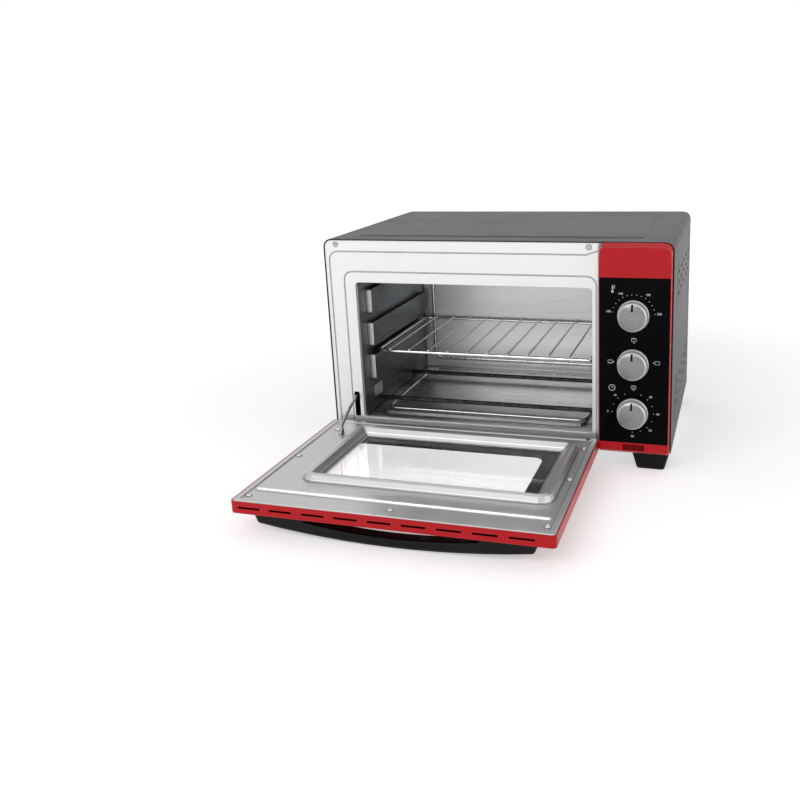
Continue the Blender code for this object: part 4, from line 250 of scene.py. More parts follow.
class OvenColours(bpy.types.PropertyGroup):
    """Colours of the oven's finishes."""

    casing: bpy.props.FloatVectorProperty(
        name="Casing", description="Dark grey paint of the casing", subtype="COLOR",
        size=3, min=0, max=1, default=(0.094, 0.094, 0.096),
    )
    frame: bpy.props.FloatVectorProperty(
        name="Front frame", description="Bright sheet round the opening", subtype="COLOR",
        size=3, min=0, max=1, default=(0.81, 0.81, 0.81),
    )
    cavity: bpy.props.FloatVectorProperty(
        name="Cavity", description="Aluminised sheet inside the oven", subtype="COLOR",
        size=3, min=0, max=1, default=(0.90, 0.90, 0.905),
    )
    pan: bpy.props.FloatVectorProperty(
        name="Door pan", description="Satin sheet on the inside of the door", subtype="COLOR",
        size=3, min=0, max=1, default=(0.52, 0.52, 0.52),
    )
    red: bpy.props.FloatVectorProperty(
        name="Red", description="Red of the door and of the control housing", subtype="COLOR",
        size=3, min=0, max=1, default=(0.52, 0.008, 0.013),
    )
    knob: bpy.props.FloatVectorProperty(
        name="Knobs", description="Silver paint of the knobs", subtype="COLOR",
        size=3, min=0, max=1, default=(0.27, 0.27, 0.27),
    )
    marks: bpy.props.FloatVectorProperty(
        name="Printed marks", description="Print on the black plate", subtype="COLOR",
        size=3, min=0, max=1, default=(0.62, 0.62, 0.62),
    )


class OvenSizes(bpy.types.PropertyGroup):
    """Sizes of the small details."""

    number_size: bpy.props.FloatProperty(
        name="Number height", description="Height of the numbers round the knobs",
        unit="LENGTH", min=0.001, max=0.01, default=NUMBER_SIZE,
    )
    dot_radius: bpy.props.FloatProperty(
        name="Dot radius", description="Radius of the dots of the scales",
        unit="LENGTH", min=0.0001, max=0.003, default=DOT_RADIUS,
    )
    cross_depth: bpy.props.FloatProperty(
        name="Cross recess", description="Depth of the cross recess of the round screw heads",
        unit="LENGTH", min=0.0001, max=0.0013, default=0.0009,
    )


class OvenStage(bpy.types.PropertyGroup):
    """Floor and light."""

    floor: bpy.props.FloatVectorProperty(
        name="Floor", description="Colour of the floor", subtype="COLOR",
        size=3, min=0, max=1, default=(0.86, 0.86, 0.86),
    )
    sky: bpy.props.FloatProperty(
        name="Sky light", description="Strength of the even light from all round",
        min=0, max=3, default=0.5,
    )
    key: bpy.props.FloatProperty(
        name="Main light", description="Power of the large soft light in front", unit="POWER",
        min=0, max=200, default=24.0,
    )
    top: bpy.props.FloatProperty(
        name="Top light", description="Power of the soft light above", unit="POWER",
        min=0, max=200, default=1.5,
    )
    side: bpy.props.FloatProperty(
        name="Side light", description="Power of the soft light at the right", unit="POWER",
        min=0, max=200, default=7.0,
    )


# Node helpers

def new_group(name, inputs, outputs):
    """Empty shader group; returns the tree, its entry's sockets and its end's sockets."""
    tree = bpy.data.node_groups.new(name, "ShaderNodeTree")
    for label, value in inputs.items():
        kind = "NodeSocketVector" if isinstance(value, tuple) else "NodeSocketFloat"
        socket = tree.interface.new_socket(name=label, in_out="INPUT", socket_type=kind)
        socket.default_value = value
    for label in outputs:
        tree.interface.new_socket(name=label, in_out="OUTPUT", socket_type="NodeSocketFloat")
    return tree, tree.nodes.new("NodeGroupInput").outputs, tree.nodes.new("NodeGroupOutput").inputs


def give_out(tree, end, **results):
    """Links a group's results to its outputs; returns the group."""
    for label, value in results.items():
        tree.links.new(value, end[label])
    return tree


def fill(tree, socket, value):
    """Links a socket to another one, or sets its plain value."""
    if isinstance(value, bpy.types.NodeSocket):
        tree.links.new(value, socket)
    else:
        socket.default_value = value


def add_node(tree, kind, **values):
    """New node, with its attributes set and its numbered or named inputs filled or linked."""
    node = tree.nodes.new(kind)
    for key, value in values.items():
        if key.startswith("in_"):
            key = key[3:].replace("_", " ")
            fill(tree, node.inputs[int(key) if key.isdigit() else key], value)
        else:
            setattr(node, key, value)
    return node


def math_node(tree, operation, *values):
    """Result of one sum."""
    node = add_node(tree, "ShaderNodeMath", operation=operation)
    for socket, value in zip(node.inputs, values):
        fill(tree, socket, value)
    return node.outputs[0]


def times(tree, first, second):
    """Product of two values."""
    return math_node(tree, "MULTIPLY", first, second)


def apart(tree, value, middle):
    """Distance of a value from a middle, either way."""
    return math_node(tree, "ABSOLUTE", math_node(tree, "SUBTRACT", value, middle))


def length_of(tree, across, up):
    """Straight distance over two distances at right angles."""
    square = times(tree, across, across)
    return math_node(tree, "SQRT", math_node(tree, "MULTIPLY_ADD", up, up, square))


def least(tree, values):
    """Smallest of some values."""
    smallest = values[0]
    for value in values[1:]:
        smallest = math_node(tree, "MINIMUM", smallest, value)
    return smallest


def span(tree, value, low, high, to_low=0.0, to_high=1.0, smooth=True):
    """Value read between two limits and given out between two others."""
    return add_node(
        tree, "ShaderNodeMapRange", interpolation_type="SMOOTHSTEP" if smooth else "LINEAR",
        in_Value=value, in_From_Min=low, in_From_Max=high, in_To_Min=to_low, in_To_Max=to_high,
    ).outputs["Result"]


def mix_colour(tree, factor, first, second):
    """Mix of two colours, each a socket or a plain colour."""
    first, second = (
        (*value, 1) if isinstance(value, tuple) else value for value in (first, second)
    )
    node = add_node(tree, "ShaderNodeMix", data_type="RGBA", in_0=factor, in_6=first, in_7=second)
    return node.outputs[2]


def toward(tree, base, other, mask, share):
    """Colour mixed towards another where a mask is bright, up to a share."""
    return mix_colour(tree, times(tree, mask, share), base, other)


def surface_place(tree):
    """Point on the surface in the model's own frame, in metres."""
    return add_node(tree, "ShaderNodeTexCoord").outputs["Object"]


def along_axis(tree, axis):
    """X, Y or Z of the point on the surface."""
    return add_node(tree, "ShaderNodeSeparateXYZ", in_Vector=surface_place(tree)).outputs[axis]


def noise(tree, vector, scale, detail=2.0, roughness=0.5, distortion=0.0):
    """Grey noise between 0 and 1."""
    return add_node(
        tree, "ShaderNodeTexNoise", in_Vector=vector, in_Scale=scale, in_Detail=detail,
        in_Roughness=roughness, in_Distortion=distortion,
    ).outputs[0]


# Effects that several materials share

def make_brushed_grain():
    """Fine lines drawn along one axis, as left by rolling and polishing a sheet."""
    tree, entry, end = new_group(
        "brushed_grain", {"Stretch": (60.0, 900.0, 900.0), "Patch Scale": 14.0}, ("Line", "Patch")
    )
    place = surface_place(tree)
    stretched = add_node(
        tree, "ShaderNodeVectorMath", operation="MULTIPLY", in_0=place, in_1=entry["Stretch"]
    ).outputs[0]
    line = noise(tree, stretched, 1.0, 4.0, 0.62)
    patch = noise(tree, place, entry["Patch Scale"], 3.0, 0.6)
    return give_out(tree, end, Line=line, Patch=span(tree, patch, 0.3, 0.7))


def make_edge_wear():
    """Mask of the outer edges, broken up by noise, for rubbed and lighter edges."""
    tree, entry, end = new_group("edge_wear", {"Width": 0.0012, "Break Scale": 300.0}, ("Mask",))
    eased = add_node(tree, "ShaderNodeBevel", samples=4, in_Radius=entry["Width"]).outputs[0]
    flat = add_node(tree, "ShaderNodeNewGeometry").outputs["Normal"]
    turn = add_node(
        tree, "ShaderNodeVectorMath", operation="DOT_PRODUCT", in_0=eased, in_1=flat
    ).outputs["Value"]
    broken = noise(tree, surface_place(tree), entry["Break Scale"], 3.0)
    kept = span(tree, broken, 0.35, 0.65, 0.25, 1.0)
    return give_out(tree, end, Mask=times(tree, span(tree, turn, 0.995, 0.86), kept))


def make_fine_skin():
    """Small even relief of paint or moulded plastic, with faint wider marks from handling."""
    tree, entry, end = new_group(
        "fine_skin", {"Grain Scale": 1400.0, "Smudge Scale": 22.0}, ("Grain", "Smudge")
    )
    place = surface_place(tree)
    grain = noise(tree, place, entry["Grain Scale"], 2.0, 0.55)
    smudge = noise(tree, place, entry["Smudge Scale"], 4.0, 0.65, 0.6)
    return give_out(tree, end, Grain=grain, Smudge=span(tree, smudge, 0.38, 0.68))


def make_zinc_spangle():
    """Soft crystals of a zinc coating."""
    tree, entry, end = new_group("zinc_spangle", {"Crystal Scale": 130.0}, ("Crystal", "Grain"))
    place = surface_place(tree)
    wobble = add_node(tree, "ShaderNodeTexNoise", in_Vector=place, in_Scale=60.0, in_Detail=2.0)
    shifted = add_node(
        tree, "ShaderNodeVectorMath", operation="MULTIPLY_ADD", in_0=wobble.outputs[1],
        in_1=(0.006, 0.006, 0.006), in_2=place,
    ).outputs[0]
    cells = add_node(
        tree, "ShaderNodeTexVoronoi", in_Vector=shifted, in_Scale=entry["Crystal Scale"]
    ).outputs["Color"]
    grey = add_node(tree, "ShaderNodeSeparateColor", in_Color=cells).outputs[0]
    return give_out(tree, end, Crystal=grey, Grain=noise(tree, place, 900.0))


def make_heat_tint():
    """Mask that is 1 near the heating rods and fades away from them."""
    tree, entry, end = new_group("heat_tint", {"Reach": 0.05}, ("Mask",))
    back, up = along_axis(tree, "Y"), along_axis(tree, "Z")
    nearest = least(tree, [
        length_of(tree, apart(tree, back, rod_y), apart(tree, up, rod_z))
        for rod_y in ROD_PLACES_Y for rod_z in ROD_PLACES_Z
    ])
    share = math_node(tree, "DIVIDE", nearest, entry["Reach"])
    cloud = noise(tree, surface_place(tree), 18.0, 4.0, 0.6)
    ragged = math_node(tree, "MULTIPLY_ADD", cloud, 0.7, share)
    return give_out(tree, end, Mask=span(tree, ragged, 1.25, 0.35))


def make_crease_shade():
    """Mask of pressed grooves and inner corners, for painted shade where light doesn't reach."""
    tree, entry, end = new_group("crease_shade", {"Reach": 0.003}, ("Mask",))
    open_share = add_node(
        tree, "ShaderNodeAmbientOcclusion", samples=8, in_Distance=entry["Reach"]
    ).outputs["AO"]
    return give_out(tree, end, Mask=span(tree, open_share, 0.985, 0.8))


EFFECTS = {}


def place_effect(tree, name, **inputs):
    """Puts a shared effect into a material and returns its outputs."""
    node = tree.nodes.new("ShaderNodeGroup")
    node.node_tree = EFFECTS[name]
    for label, value in inputs.items():
        node.inputs[label.replace("_", " ")].default_value = value
    return node.outputs


# Materials

def start_material(name, roughness=0.5, metallic=0.0, **values):
    """Material with one Principled shader, its plain values set on the shader's own sockets."""
    material = bpy.data.materials.new(name)
    material.use_nodes = True
    tree = material.node_tree
    shader = tree.nodes["Principled BSDF"]
    shader.inputs["Roughness"].default_value = roughness
    shader.inputs["Metallic"].default_value = metallic
    for label, value in values.items():
        shader.inputs[label.replace("_", " ")].default_value = value
    return material, tree, shader


def set_colour(tree, shader, value):
    """Base colour from a pattern."""
    tree.links.new(value, shader.inputs["Base Color"])


def set_roughness(tree, shader, value, low, high, from_low=0.3, from_high=0.7):
    """Roughness that follows a pattern between two values."""
    tree.links.new(span(tree, value, from_low, from_high, low, high), shader.inputs["Roughness"])


def set_bump(tree, shader, height, distance, strength=0.5):
    """Relief on the shader's normal."""
    bump = add_node(
        tree, "ShaderNodeBump", in_Distance=distance, in_Strength=strength, in_Height=height
    )
    tree.links.new(bump.outputs[0], shader.inputs["Normal"])


def shade(colour, factor):
    """Colour made lighter or darker."""
    return tuple(min(1.0, part * factor) for part in colour)


def casing_paint(colour):
    """Dark grey paint with a fine speckle, rubbed a little at the edges, and painted shade in its
    creases.
    """
    material, tree, shader = start_material("casing_paint", 0.45, Specular_IOR_Level=0.1)
    skin = place_effect(tree, "fine_skin", Grain_Scale=2400.0, Smudge_Scale=9.0)
    wear = place_effect(tree, "edge_wear", Width=0.0016)
    # painted shade: grooves and inner corners darkened by ambient occlusion
    crease_shadow = place_effect(tree, "crease_shade", Reach=0.004)
    speckle = span(tree, skin["Grain"], 0.35, 0.68)
    result = mix_colour(tree, speckle, shade(colour, 0.82), shade(colour, 1.22))
    result = toward(tree, result, (0.42, 0.42, 0.43), wear["Mask"], 0.35)
    set_colour(tree, shader, toward(tree, result, (0.02, 0.02, 0.02), crease_shadow["Mask"], 0.6))
    set_roughness(tree, shader, skin["Smudge"], 0.43, 0.47, 0.0, 1.0)
    set_bump(tree, shader, skin["Grain"], 0.00006, 0.6)
    return material


def sheet_metal(
    name, colour, stretch, roughness, tint=0.0, line_contrast=0.1, metallic=1.0, crease=0.6,
    crease_reach=3.5 * MM, crease_full=1.0, edge=0.5, front_face_highlight=0.0, bead_highlight=False,
):
    """Rolled or brushed sheet with lines, soft patches and, near the rods, a straw tint; painted
    shade in grooves and inner corners, and where asked a painted highlight on faces turned forward
    and on the pan's bead.
    """
    material, tree, shader = start_material(name, roughness, metallic)
    grain = place_effect(tree, "brushed_grain", Stretch=stretch, Patch_Scale=11.0)
    darker, lighter = shade(colour, 1 - line_contrast), shade(colour, 1 + line_contrast)
    result = mix_colour(tree, span(tree, grain["Line"], 0.3, 0.7), darker, lighter)
    result = toward(tree, result, shade(colour, 0.9), grain["Patch"], 0.25)
    rough = span(tree, grain["Line"], 0.25, 0.75, roughness - 0.06, roughness + 0.08)
    if tint:
        heat = place_effect(tree, "heat_tint", Reach=0.055)["Mask"]
        result = toward(tree, result, shade((0.60, 0.55, 0.47), colour[0]), heat, tint)
        rough = math_node(tree, "MULTIPLY_ADD", heat, 0.1, rough)
    # painted highlight: faces turned towards the front are made lighter
    if front_face_highlight:
        facing = add_node(tree, "ShaderNodeNewGeometry").outputs["Normal"]
        forward = add_node(tree, "ShaderNodeSeparateXYZ", in_Vector=facing).outputs["Y"]
        ends = span(tree, forward, -0.35, -0.8)
        result = toward(tree, result, (0.85, 0.85, 0.85), ends, front_face_highlight)
    # painted highlight on the raised bead of the door pan, by height above its flat field
    if bead_highlight:
        height = along_axis(tree, "Z")
        bead_highlight_rise = span(tree, height, *PAN_BEAD_HIGHLIGHT_START, 0.0, 0.8)
        bead_highlight_fade = span(tree, height, *PAN_BEAD_HIGHLIGHT_END, 1.0, 0.0)
        result = toward(tree, result, shade(colour, 1.7), bead_highlight_rise, bead_highlight_fade)
    # painted shade: grooves and inner corners mixed towards a much darker copy of the colour
    crease_shadow = place_effect(tree, "crease_shade", Reach=crease_reach)["Mask"]
    crease_shadow_share = span(tree, crease_shadow, 0.0, crease_full, 0.0, crease, smooth=False)
    result = mix_colour(tree, crease_shadow_share, result, shade(colour, 0.18))
    wear = place_effect(tree, "edge_wear", Width=0.001, Break_Scale=200.0)["Mask"]
    set_colour(tree, shader, toward(tree, result, (0.93, 0.93, 0.93), wear, edge))
    tree.links.new(rough, shader.inputs["Roughness"])
    set_bump(tree, shader, grain["Line"], 0.00003)
    return material


def plated_sheet(name, colour, roughness=0.34):
    """Zinc-plated sheet with faint crystals."""
    material, tree, shader = start_material(name, roughness, 1.0)
    zinc = place_effect(tree, "zinc_spangle", Crystal_Scale=120.0)
    crystal = zinc["Crystal"]
    set_colour(tree, shader, mix_colour(tree, crystal, shade(colour, 0.86), shade(colour, 1.1)))
    set_roughness(tree, shader, crystal, roughness - 0.05, roughness + 0.1, 0.0, 1.0)
    set_bump(tree, shader, zinc["Grain"], 0.00003, 0.35)
    return material


def between(tree, value, low, high):
    """1 where the value lies between two limits."""
    above = math_node(tree, "GREATER_THAN", value, low)
    return times(tree, above, math_node(tree, "LESS_THAN", value, high))


def shell_shade_mask(tree):
    """Mask of the hidden inner faces of the door shell, which get painted shade."""
    low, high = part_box("door_shell")
    floor = low.z + SHELL_SHADE_MARGIN
    middle = (low + high) / 2
    half = (high - low) / 2
    height = along_axis(tree, "Z")
    out = []
    for axis, centre, reach in (("X", middle.x, half.x), ("Y", middle.y, half.y)):
        away = apart(tree, along_axis(tree, axis), centre)
        past = math_node(tree, "SUBTRACT", away, reach - SHELL_CORNER)
        out.append(math_node(tree, "MAXIMUM", past, 0.0))
    corner = length_of(tree, *out)
    enclosed = math_node(tree, "LESS_THAN", corner, SHELL_CORNER - SHELL_SHADE_MARGIN)
    inner = times(tree, enclosed, between(tree, height, floor, low.z + SHELL_SHADE_HEIGHT))
    hinge_side = math_node(tree, "GREATER_THAN", along_axis(tree, "Y"), high.y - SHELL_SHADE_LIP)
    upper = times(tree, hinge_side, math_node(tree, "GREATER_THAN", height, floor))
    return math_node(tree, "MAXIMUM", inner, upper)


def red_finish(name, colour, grain_scale, depth, painted_inside_shade=False):
    """Gloss red under a clear layer, with a faint ripple and lighter edges, and where asked painted
    shade on the inner faces.
    """
    material, tree, shader = start_material(
        name, 0.34, Coat_Weight=0.12, Coat_Roughness=0.06, Specular_IOR_Level=0.15
    )
    skin = place_effect(tree, "fine_skin", Grain_Scale=grain_scale, Smudge_Scale=16.0)
    wear = place_effect(tree, "edge_wear", Width=0.0008, Break_Scale=420.0)
    result = mix_colour(tree, skin["Smudge"], shade(colour, 0.98), shade(colour, 1.02))
    result = toward(tree, result, (0.60, 0.05, 0.06), wear["Mask"], 0.25)
    # painted shade: the inner faces of the door shell made near black
    if painted_inside_shade:
        result = mix_colour(tree, shell_shade_mask(tree), result, (0.012, 0.012, 0.013))
    set_colour(tree, shader, result)
    set_roughness(tree, shader, skin["Smudge"], 0.30, 0.35, 0.0, 1.0)
    set_bump(tree, shader, skin["Grain"], depth)
    return material


def dark_plastic(name, colour, roughness, grain_scale, depth, coat=0.0):
    """Moulded black plastic with a fine grain and lighter rubbed edges."""
    material, tree, shader = start_material(
        name, roughness, Coat_Weight=coat, Coat_Roughness=0.1, Specular_IOR_Level=0.12
    )
    skin = place_effect(tree, "fine_skin", Grain_Scale=grain_scale, Smudge_Scale=26.0)
    wear = place_effect(tree, "edge_wear", Width=0.0009, Break_Scale=500.0)
    result = mix_colour(tree, skin["Smudge"], colour, shade(colour, 1.7))
    set_colour(tree, shader, toward(tree, result, (0.04, 0.04, 0.042), wear["Mask"], 0.4))
    set_roughness(tree, shader, skin["Smudge"], roughness - 0.04, roughness + 0.08, 0.0, 1.0)
    set_bump(tree, shader, skin["Grain"], depth, 0.6)
    return material


def gloss_plate():
    """Deep black gloss plate with faint wiping marks."""
    material, tree, shader = start_material("black_gloss_plate", 0.12, Specular_IOR_Level=0.035)
    smudge = place_effect(tree, "fine_skin", Grain_Scale=500.0, Smudge_Scale=14.0)["Smudge"]
    colour = mix_colour(tree, smudge, (0.001, 0.001, 0.0012), (0.0022, 0.0022, 0.0024))
    set_colour(tree, shader, colour)
    set_roughness(tree, shader, smudge, 0.14, 0.26, 0.0, 1.0)
    set_bump(tree, shader, smudge, 0.00001, 0.3)
    return material


def knob_paint(colour):
    """Silver paint over turned plastic: fine rings, a metal flake and a painted highlight on the
    rim.
    """
    material, tree, shader = start_material("knob_silver", 0.28, 0.45, Specular_IOR_Level=0.4)
    side = math_node(tree, "SUBTRACT", along_axis(tree, "X"), KNOB_X)
    height = along_axis(tree, "Z")
    out = least(tree, [
        length_of(tree, side, apart(tree, height, centre + UNDERSIDE_Z))
        for centre in KNOB_HEIGHTS.values()
    ])
    rings = math_node(tree, "SINE", times(tree, out, KNOB_RING_RATE))
    flake = noise(tree, surface_place(tree), 2600.0, 1.0)
    result = mix_colour(
        tree, span(tree, flake, 0.35, 0.7), shade(colour, 0.9), shade(colour, 1.1)
    )
    # painted highlight: the rounded rim made lighter by its distance from the axis
    painted_rim = span(tree, out, KNOB_RIM_HIGHLIGHT_START, KNOB_RIM_HIGHLIGHT_END)
    set_colour(tree, shader, toward(tree, result, (0.86, 0.86, 0.86), painted_rim, 0.75))
    set_roughness(tree, shader, flake, 0.22, 0.32)
    set_bump(tree, shader, rings, 0.000012)
    return material


def bright_wire(name, colour, roughness):
    """Bright drawn metal with fine drawing marks and duller patches."""
    material, tree, shader = start_material(name, roughness, 1.0)
    place = surface_place(tree)
    patch = noise(tree, place, 90.0, 4.0, 0.6)
    tone = span(tree, patch, 0.35, 0.7)
    set_colour(tree, shader, mix_colour(tree, tone, shade(colour, 0.85), shade(colour, 1.12)))
    set_roughness(tree, shader, patch, roughness * 0.7, roughness * 1.6, 0.3, 0.75)
    set_bump(tree, shader, noise(tree, place, 1800.0), 0.00002, 0.4)
    return material


def rod_finish():
    """Oxidised steel sheath in the middle, off-white ceramic at both ends."""
    material, tree, shader = start_material("heater_rod", 0.4)
    away = apart(tree, along_axis(tree, "X"), ROD_MIDDLE_X)
    ceramic = between(tree, away, *ROD_CERAMIC)
    scale = noise(tree, surface_place(tree), 160.0, 5.0, 0.65)
    tone = span(tree, scale, 0.35, 0.7)
    steel = mix_colour(tree, tone, (0.020, 0.019, 0.018), (0.07, 0.064, 0.058))
    white = mix_colour(tree, scale, (0.70, 0.67, 0.60), (0.82, 0.80, 0.75))
    set_colour(tree, shader, mix_colour(tree, ceramic, steel, white))
    tree.links.new(math_node(tree, "SUBTRACT", 1.0, ceramic), shader.inputs["Metallic"])
    set_roughness(tree, shader, scale, 0.3, 0.5)
    set_bump(tree, shader, scale, 0.00006)
    return material


def fired_ceramic(name, colour):
    """Matt ceramic with fine pits."""
    material, tree, shader = start_material(name, 0.6)
    place = surface_place(tree)
    cloud = noise(tree, place, 60.0, 3.0)
    set_colour(tree, shader, mix_colour(tree, cloud, shade(colour, 0.9), shade(colour, 1.05)))
    set_roughness(tree, shader, cloud, 0.52, 0.68)
    set_bump(tree, shader, noise(tree, place, 1300.0, 3.0, 0.6), 0.00008, 0.6)
    return material


def clear_glass():
    """Clear toughened glass with the faintest wiping marks."""
    material, tree, shader = start_material(
        "clear_glass", 0.02, IOR=1.36, Transmission_Weight=1.0
    )
    smudge = place_effect(tree, "fine_skin", Grain_Scale=300.0, Smudge_Scale=12.0)["Smudge"]
    set_colour(tree, shader, mix_colour(tree, smudge, (0.965, 0.98, 0.975), (0.985, 0.992, 0.99)))
    set_roughness(tree, shader, smudge, 0.0, 0.035, 0.0, 1.0)
    return material


def red_lens():
    """Clear red moulding with fine upright ribs on its back, painted shade along its border and
    painted light and shade in stripes along the ribs.
    """
    material, tree, shader = start_material(
        "red_lens", 0.12, Coat_Weight=0.04, Coat_Roughness=0.05, Specular_IOR_Level=0.05
    )
    side = along_axis(tree, "X")
    ribs = math_node(tree, "SINE", times(tree, side, LENS_RIB_RATE))
    across = apart(tree, side, LENS_X)
    up = apart(tree, along_axis(tree, "Z"), LENS_Z + UNDERSIDE_Z)
    near_end = span(tree, across, *(LENS_HALF_X - inset for inset in LENS_RIM_SHADE_ENDS))
    near_top = span(tree, up, *(LENS_HALF_Z - inset for inset in LENS_RIM_SHADE_TOPS))
    painted_rim = math_node(tree, "MAXIMUM", near_end, near_top)
    # painted light and shade: lighter and darker red in stripes that follow the ribs
    tone = span(tree, ribs, -1.0, 1.0)
    inner = mix_colour(tree, tone, (0.12, 0.0008, 0.0012), (0.26, 0.003, 0.005))
    # painted shade: dark border round the lens
    set_colour(tree, shader, mix_colour(tree, painted_rim, inner, (0.045, 0.0006, 0.001)))
    set_roughness(tree, shader, ribs, 0.1, 0.2, -1.0, 1.0)
    set_bump(tree, shader, ribs, 0.00005)
    return material


def printed_ink(name, colour, roughness=0.5, relief=0.00001):
    """Thin screen print, a little uneven."""
    material, tree, shader = start_material(name, roughness, Specular_IOR_Level=0.1)
    grain = noise(tree, surface_place(tree), 2200.0, 3.0)
    set_colour(tree, shader, mix_colour(tree, grain, shade(colour, 0.85), shade(colour, 1.08)))
    set_roughness(tree, shader, grain, roughness - 0.08, roughness + 0.08)
    set_bump(tree, shader, grain, relief)
    return material


MATERIALS = {}


def make_all_materials(colours):
    """Builds every shared effect and every finish once."""
    if MATERIALS:
        return
    for make in (
        make_brushed_grain, make_edge_wear, make_fine_skin, make_zinc_spangle, make_heat_tint,
        make_crease_shade,
    ):
        effect = make()
        EFFECTS[effect.name] = effect
    cavity, red = tuple(colours.cavity), tuple(colours.red)
    MATERIALS.update({
        "casing": casing_paint(tuple(colours.casing)),
        "frame": sheet_metal(
            "bright_frame", tuple(colours.frame), (25.0, 700.0, 700.0), 0.38, line_contrast=0.02,
            metallic=0.7, crease=0.9, crease_reach=5.0 * MM, crease_full=0.45,
        ),
        # painted shade: the side walls are the back wall's aluminised sheet made much darker
        "cavity": sheet_metal(
            "cavity_wall_sheet", (0.14, 0.155, 0.165), (500.0, 40.0, 500.0), 0.30, tint=0.35,
            edge=0.8, front_face_highlight=0.85,
        ),
        "cavity_back": sheet_metal(
            "cavity_back_sheet", cavity, (30.0, 500.0, 500.0), 0.36, tint=0.2,
            line_contrast=0.05, metallic=0.7,
        ),
        "bead": sheet_metal(
            "cavity_bead_sheet", (0.72, 0.72, 0.72), (200.0, 200.0, 200.0), 0.24,
            line_contrast=0.04, crease=0.3,
        ),
        # painted shade: the floor is the back wall's sheet made darker
        "cavity_floor": sheet_metal(
            "cavity_floor_sheet", shade(cavity, 0.68), (30.0, 500.0, 500.0), 0.26, tint=0.3,
            line_contrast=0.08, edge=0.8,
        ),
        "pan": sheet_metal(
            "door_pan_sheet", tuple(colours.pan), (30.0, 600.0, 600.0), 0.38,
            line_contrast=0.06, bead_highlight=True,
        ),
        "plated": plated_sheet("plated_sheet", (0.60, 0.61, 0.62)),
        "blackened": plated_sheet("blackened_sheet", (0.030, 0.030, 0.032), 0.45),
        "red_paint": red_finish("red_lacquer", red, 900.0, 0.00002, True),
        "red_plastic": red_finish("red_plastic", red, 1500.0, 0.00001),
        "plate": gloss_plate(),
        "handle": dark_plastic(
            "handle_plastic", (0.002, 0.002, 0.0023), 0.24, 1500.0, 0.00002, 0.16
        ),
        "foot": dark_plastic("foot_plastic", (0.007, 0.007, 0.0075), 0.55, 900.0, 0.00008),
        "knob": knob_paint(tuple(colours.knob)),
        "pointer": printed_ink("pointer_black", (0.004, 0.004, 0.0045)),
        "chrome": bright_wire("rack_chrome", (0.66, 0.66, 0.66), 0.15),
        "steel": bright_wire("turned_steel", (0.40, 0.40, 0.41), 0.28),
        "screw": bright_wire("screw_steel", (0.62, 0.62, 0.63), 0.26),
        "rod": rod_finish(),
        "ceramic": fired_ceramic("white_ceramic", (0.76, 0.74, 0.69)),
        "glass": clear_glass(),
        "lens": red_lens(),
        "border": printed_ink("glass_border_black", (0.003, 0.003, 0.0035), 0.35, 0.000002),
        "marks": printed_ink("plate_print", tuple(colours.marks)),
    })


def finish_called(name):
    """Finish by its name; all of them are built when the first is asked for."""
    make_all_materials(bpy.context.scene.oven_colours)
    return MATERIALS[name]


# Mesh helpers

def oven_point(x, y, z):
    """Point given from the casing's front and underside, in the model's own frame."""
    return Vector((x, y + FRONT_Y, z + UNDERSIDE_Z))


def new_object(name, data):
    """New object in the scene."""
    made = bpy.data.objects.new(name, data)
    bpy.context.scene.collection.objects.link(made)
    return made


def outward_mesh(name, bm):
    """Mesh of a bmesh, with its faces turned outwards."""
    mesh = bpy.data.meshes.new(name)
    bmesh.ops.recalc_face_normals(bm, faces=bm.faces)
    bm.to_mesh(mesh)
    bm.free()
    return mesh


def dress_mesh(mesh, finish, smooth=None):
    """One finish for a mesh, and smooth shading where edges turn by less than an angle."""
    mesh.materials.clear()
    mesh.materials.append(finish_called(finish))
    if smooth is not None:
        mesh.shade_smooth()
        mesh.set_sharp_from_angle(angle=math.radians(smooth))
    return mesh


def place_piece(name, mesh, body, matrix=None):
    """Piece that rides on a body."""
    piece = new_object(name, mesh)
    if matrix is not None:
        piece.matrix_world = matrix
    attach(piece, body)
    return piece


def finish_piece(name, bm, finish, body, smooth=None):
    """Turns a bmesh into a piece with one finish."""
    return place_piece(name, dress_mesh(outward_mesh(name, bm), finish, smooth), body)


def curve_mesh(name, curve):
    """Mesh of a curve, which is then taken away."""
    made = new_object(name, curve)
    bpy.context.view_layer.update()
    depsgraph = bpy.context.evaluated_depsgraph_get()
    mesh = bpy.data.meshes.new_from_object(made.evaluated_get(depsgraph))
    mesh.name = name
    bpy.data.objects.remove(made)
    bpy.data.curves.remove(curve)
    return mesh


def wire_piece(name, lines, radius, finish, body, closed=True, resolution=3):
    """Round wire along each line of points, as one smooth piece."""
    curve = bpy.data.curves.new(name + "_curve", "CURVE")
    curve.dimensions = "3D"
    curve.bevel_depth = radius
    curve.bevel_resolution = resolution
    curve.use_fill_caps = not closed
    for points in lines:
        spline = curve.splines.new("POLY")
        spline.points.add(len(points) - 1)
        for point, place in zip(spline.points, points):
            point.co = (*place, 1)
        spline.use_cyclic_u = closed
    mesh = dress_mesh(curve_mesh(name, curve), finish, WIRE_SHARP_ANGLE)
    return place_piece(name, mesh, body)


def ring_at(bm, points):
    """Corners at some points."""
    return [bm.verts.new(point) for point in points]


def bridge(bm, rings):
    """Faces between each ring of corners and the next; a ring of one corner is a tip."""
    turns = max(len(ring) for ring in rings)
    for low, high in zip(rings, rings[1:]):
        for step in range(turns):
            after = (step + 1) % turns
            corners = list(dict.fromkeys((
                low[step % len(low)], low[after % len(low)],
                high[after % len(high)], high[step % len(high)],
            )))
            if len(corners) > 2:
                bm.faces.new(corners)


def round_points(radius, turns):
    """Points of a circle, as two coordinates each."""
    angles = (2 * math.pi * step / turns for step in range(turns))
    return [(radius * math.cos(angle), radius * math.sin(angle)) for angle in angles]


